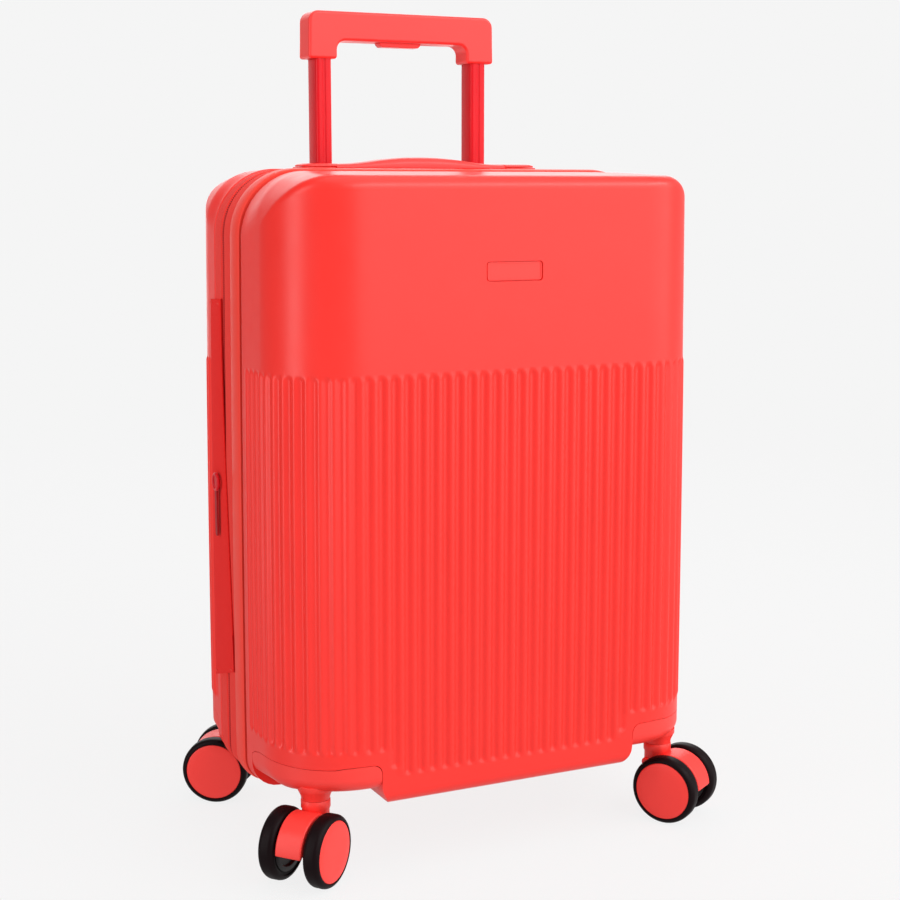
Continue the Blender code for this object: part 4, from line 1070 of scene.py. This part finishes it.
# ------ lock and zip sliders on the right side
def make_dial(k, front):
    """A knurled number wheel; returns the cutter of its slot in the lock, open to the front."""
    low, high, middle, half = sizes_of(f"lock_dial_{k}")
    radius = half.x
    grip = []
    for angle in np.linspace(0, 2 * math.pi, 145)[:-1]:
        r = radius - 0.00022 * (0.5 - 0.5 * math.cos(18 * angle)) ** 2
        grip.append((middle.x + r * math.cos(angle), middle.y + r * math.sin(angle)))
    dial = prism(f"number_wheel_{k}", grip, "Z", low.z, high.z, MAT["black"], 50)
    finish_piece(soften(dial, 0.0002, 1, 60.0), f"lock_dial_{k}", [f"lock_dial_{k}"])
    size = (radius + 0.0004, half.z + GAP)
    back = middle.x - radius - 0.0004
    return slab(f"dial_slot_{k}", "X", (middle.y, middle.z), size, 0.0004, back, front, steps=3)


def make_lock():
    """Lock with three dials and a ridged release button."""
    low, high, middle, half = sizes_of("lock_body")
    size, front = (half.y, half.z), high.x + 0.003
    body = slab("lock_case", "X", (middle.y, middle.z), size, 0.004, low.x, high.x, MAT["dark"])
    soften(body, 0.0012, 3)
    cutters = [make_dial(k, front) for k in (1, 2, 3)]
    low, high, middle, half = sizes_of("lock_release")
    size, where = (half.y + 0.0004, half.z + 0.0024), (middle.y, middle.z + 0.0020)
    cutters.append(slab("release_slot", "X", where, size, 0.0015, low.x - 0.0004, front, steps=4))
    finish_piece(shade(cut(body, cutters), 40), "case", ["lock_body"])
    size = (half.y, half.z)
    button = slab("release_button", "X", (middle.y, middle.z), size, 0.0015, low.x, high.x, MAT["black"], 4)
    ridges = []
    for k in (-1, 0, 1):
        size, where = (half.y * 0.7, 0.0004), (middle.y, middle.z + k * 0.0022)
        ridges.append(slab(f"ridge_{k}", "X", where, size, 0.0003, high.x - 0.0003, high.x + 0.001, steps=3))
    finish_piece(cut(soften(button, 0.0003, 2), ridges), "lock_release", ["lock_release"])


def make_zip_sliders():
    """Two sliders of the main zip, each a body with a holed puller."""
    for name, way in (("zip_slider_upper", 1), ("zip_slider_lower", -1)):
        low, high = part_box(name)
        z = (low.z + 0.0060) if way > 0 else (high.z - 0.0060)
        wide, narrow, half = 0.0048, 0.0040, 0.0060
        head, foot = z + way * half, z - way * half
        outline = [(ZIP_LINE - wide, head), (ZIP_LINE - narrow, foot), (ZIP_LINE + narrow, foot),
                   (ZIP_LINE + wide, head)]
        body = prism(name + "_body", outline, "X", low.x, low.x + 0.0030, MAT["tube"])
        finish_piece(soften(body, 0.0008, 3, 30.0), name, [name])
        size, where = (0.0036, 0.0120), (ZIP_LINE, z + way * 0.0090)
        tab = slab(name + "_pull", "X", where, size, 0.0030, high.x - 0.0016, high.x, MAT["tube"])
        size, where = (0.0016, 0.0024), (ZIP_LINE, z + way * 0.0168)
        hole = slab("hole", "X", where, size, 0.0015, low.x - 0.01, high.x + 0.01, steps=5)
        finish_piece(soften(cut(tab, [hole]), 0.0003, 2, 60.0), name)


make_hinge_strip()
make_expansion_slider()
make_carry_strap()
make_name_plate()
make_lining("lid_lining", "front_lining", "lid")
make_lining("case_lining", "rear_lining", "case")
make_packing_straps()
make_lock()
make_zip_sliders()


# ------ camera, light, floor
CASE_MIDDLE = 0.30


def make_camera():
    data = bpy.data.cameras.new("camera")
    data.lens = 65.7
    data.sensor_width = 36.0
    camera = add_object("camera", data)
    camera.location = (-0.5589, -1.1948, 0.5127)
    camera.rotation_euler = (math.radians(90 - 9.13), 0.0, math.radians(-25.17))
    bpy.context.scene.camera = camera


def measure(tree, output, operation, way=None):
    """A vector operation on a texture coordinate, as a number."""
    made = add_node(tree, "VectorMath", operation=operation)
    if way:
        made.inputs[1].default_value = way
    tree.links.new(add_node(tree, "TexCoord").outputs[output], made.inputs[0])
    return made.outputs["Value"]


def make_stage():
    """Pale floor that fades into the pale surround, so no horizon shows."""
    bm = bmesh.new()
    bmesh.ops.create_circle(bm, cap_ends=True, segments=64, radius=3.0)
    material = new_material("floor", 0.9, specular=0.1)
    tree = material.node_tree
    grey = ramp(material, noise(material, 3.0), (0.90,) * 3, (0.91,) * 3)
    tree.links.new(grey, socket(material, "Base Color"))
    fade = map_range(tree, measure(tree, "Object", "LENGTH"), (0.55, 2.2), (0.08, 0.0))
    tree.links.new(fade, socket(material, "Alpha"))
    floor = piece("floor", bm, material)
    floor.location = (0, 0, -0.0002)


def make_world(seen, light, dim, floor_glow):
    """Surround: even as backdrop; as light lowest behind on the left, brighter below like a lit floor."""
    world = bpy.data.worlds.new("studio")
    world.use_nodes = True
    tree = world.node_tree
    behind = measure(tree, "Generated", "DOT_PRODUCT", (-0.64, 0.77, 0.0))
    fall = map_range(tree, behind, (0.0, 0.8), (light, dim))
    below = measure(tree, "Generated", "DOT_PRODUCT", (0.0, 0.0, -1.0))
    glow = map_range(tree, below, (0.02, 0.25), (0.0, floor_glow))
    level = add_node(tree, "MapRange")
    level.inputs["To Max"].default_value = seen
    tree.links.new(combine(tree, "ADD", fall, glow), level.inputs["To Min"])
    tree.links.new(add_node(tree, "LightPath").outputs["Is Camera Ray"], level.inputs["Value"])
    background = tree.nodes["Background"]
    background.inputs["Color"].default_value = (1.0, 1.0, 1.0, 1.0)
    tree.links.new(level.outputs["Result"], background.inputs["Strength"])
    bpy.context.scene.world = world
    bpy.context.scene.view_settings.view_transform = "Standard"


def panel(name, azimuth, elevation, distance, size, level):
    """A soft panel aimed at the case; level is its brightness."""
    a, e = math.radians(azimuth), math.radians(elevation)
    way = Vector((math.sin(a) * math.cos(e), -math.cos(a) * math.cos(e), math.sin(e)))
    data = bpy.data.lights.new(name, "AREA")
    data.shape = "RECTANGLE"
    data.size, data.size_y = size
    data.energy = level * math.pi * size[0] * size[1]
    light = add_object(name, data)
    light.location = Vector((0, 0, CASE_MIDDLE)) + way * distance
    light.rotation_euler = (-way).to_track_quat("-Z", "Y").to_euler()
    light.visible_camera = False


make_camera()
make_stage()
make_world(seen=0.913, light=0.45, dim=0.20, floor_glow=0.22)
panel("wall_right", 37, 22, 2.3, (3.9, 2.6), 1.50)
panel("strip_left", -84, 12, 2.0, (0.60, 2.2), 3.7)
panel("back_left", -176, 12, 2.4, (0.9, 2.2), 1.2)
panel("back_right", 152, 20, 2.4, (1.8, 2.2), 1.8)
panel("edge_light", 34, 40, 2.4, (3.2, 0.32), 6.0)
panel("top", 20, 80, 2.2, (2.4, 2.4), 0.9)

# ------ the axles stay as the CAD has them
for caster in CASTERS:
    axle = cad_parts["axle_" + caster]
    axle.data.materials.clear()
    axle.data.materials.append(MAT["steel"])
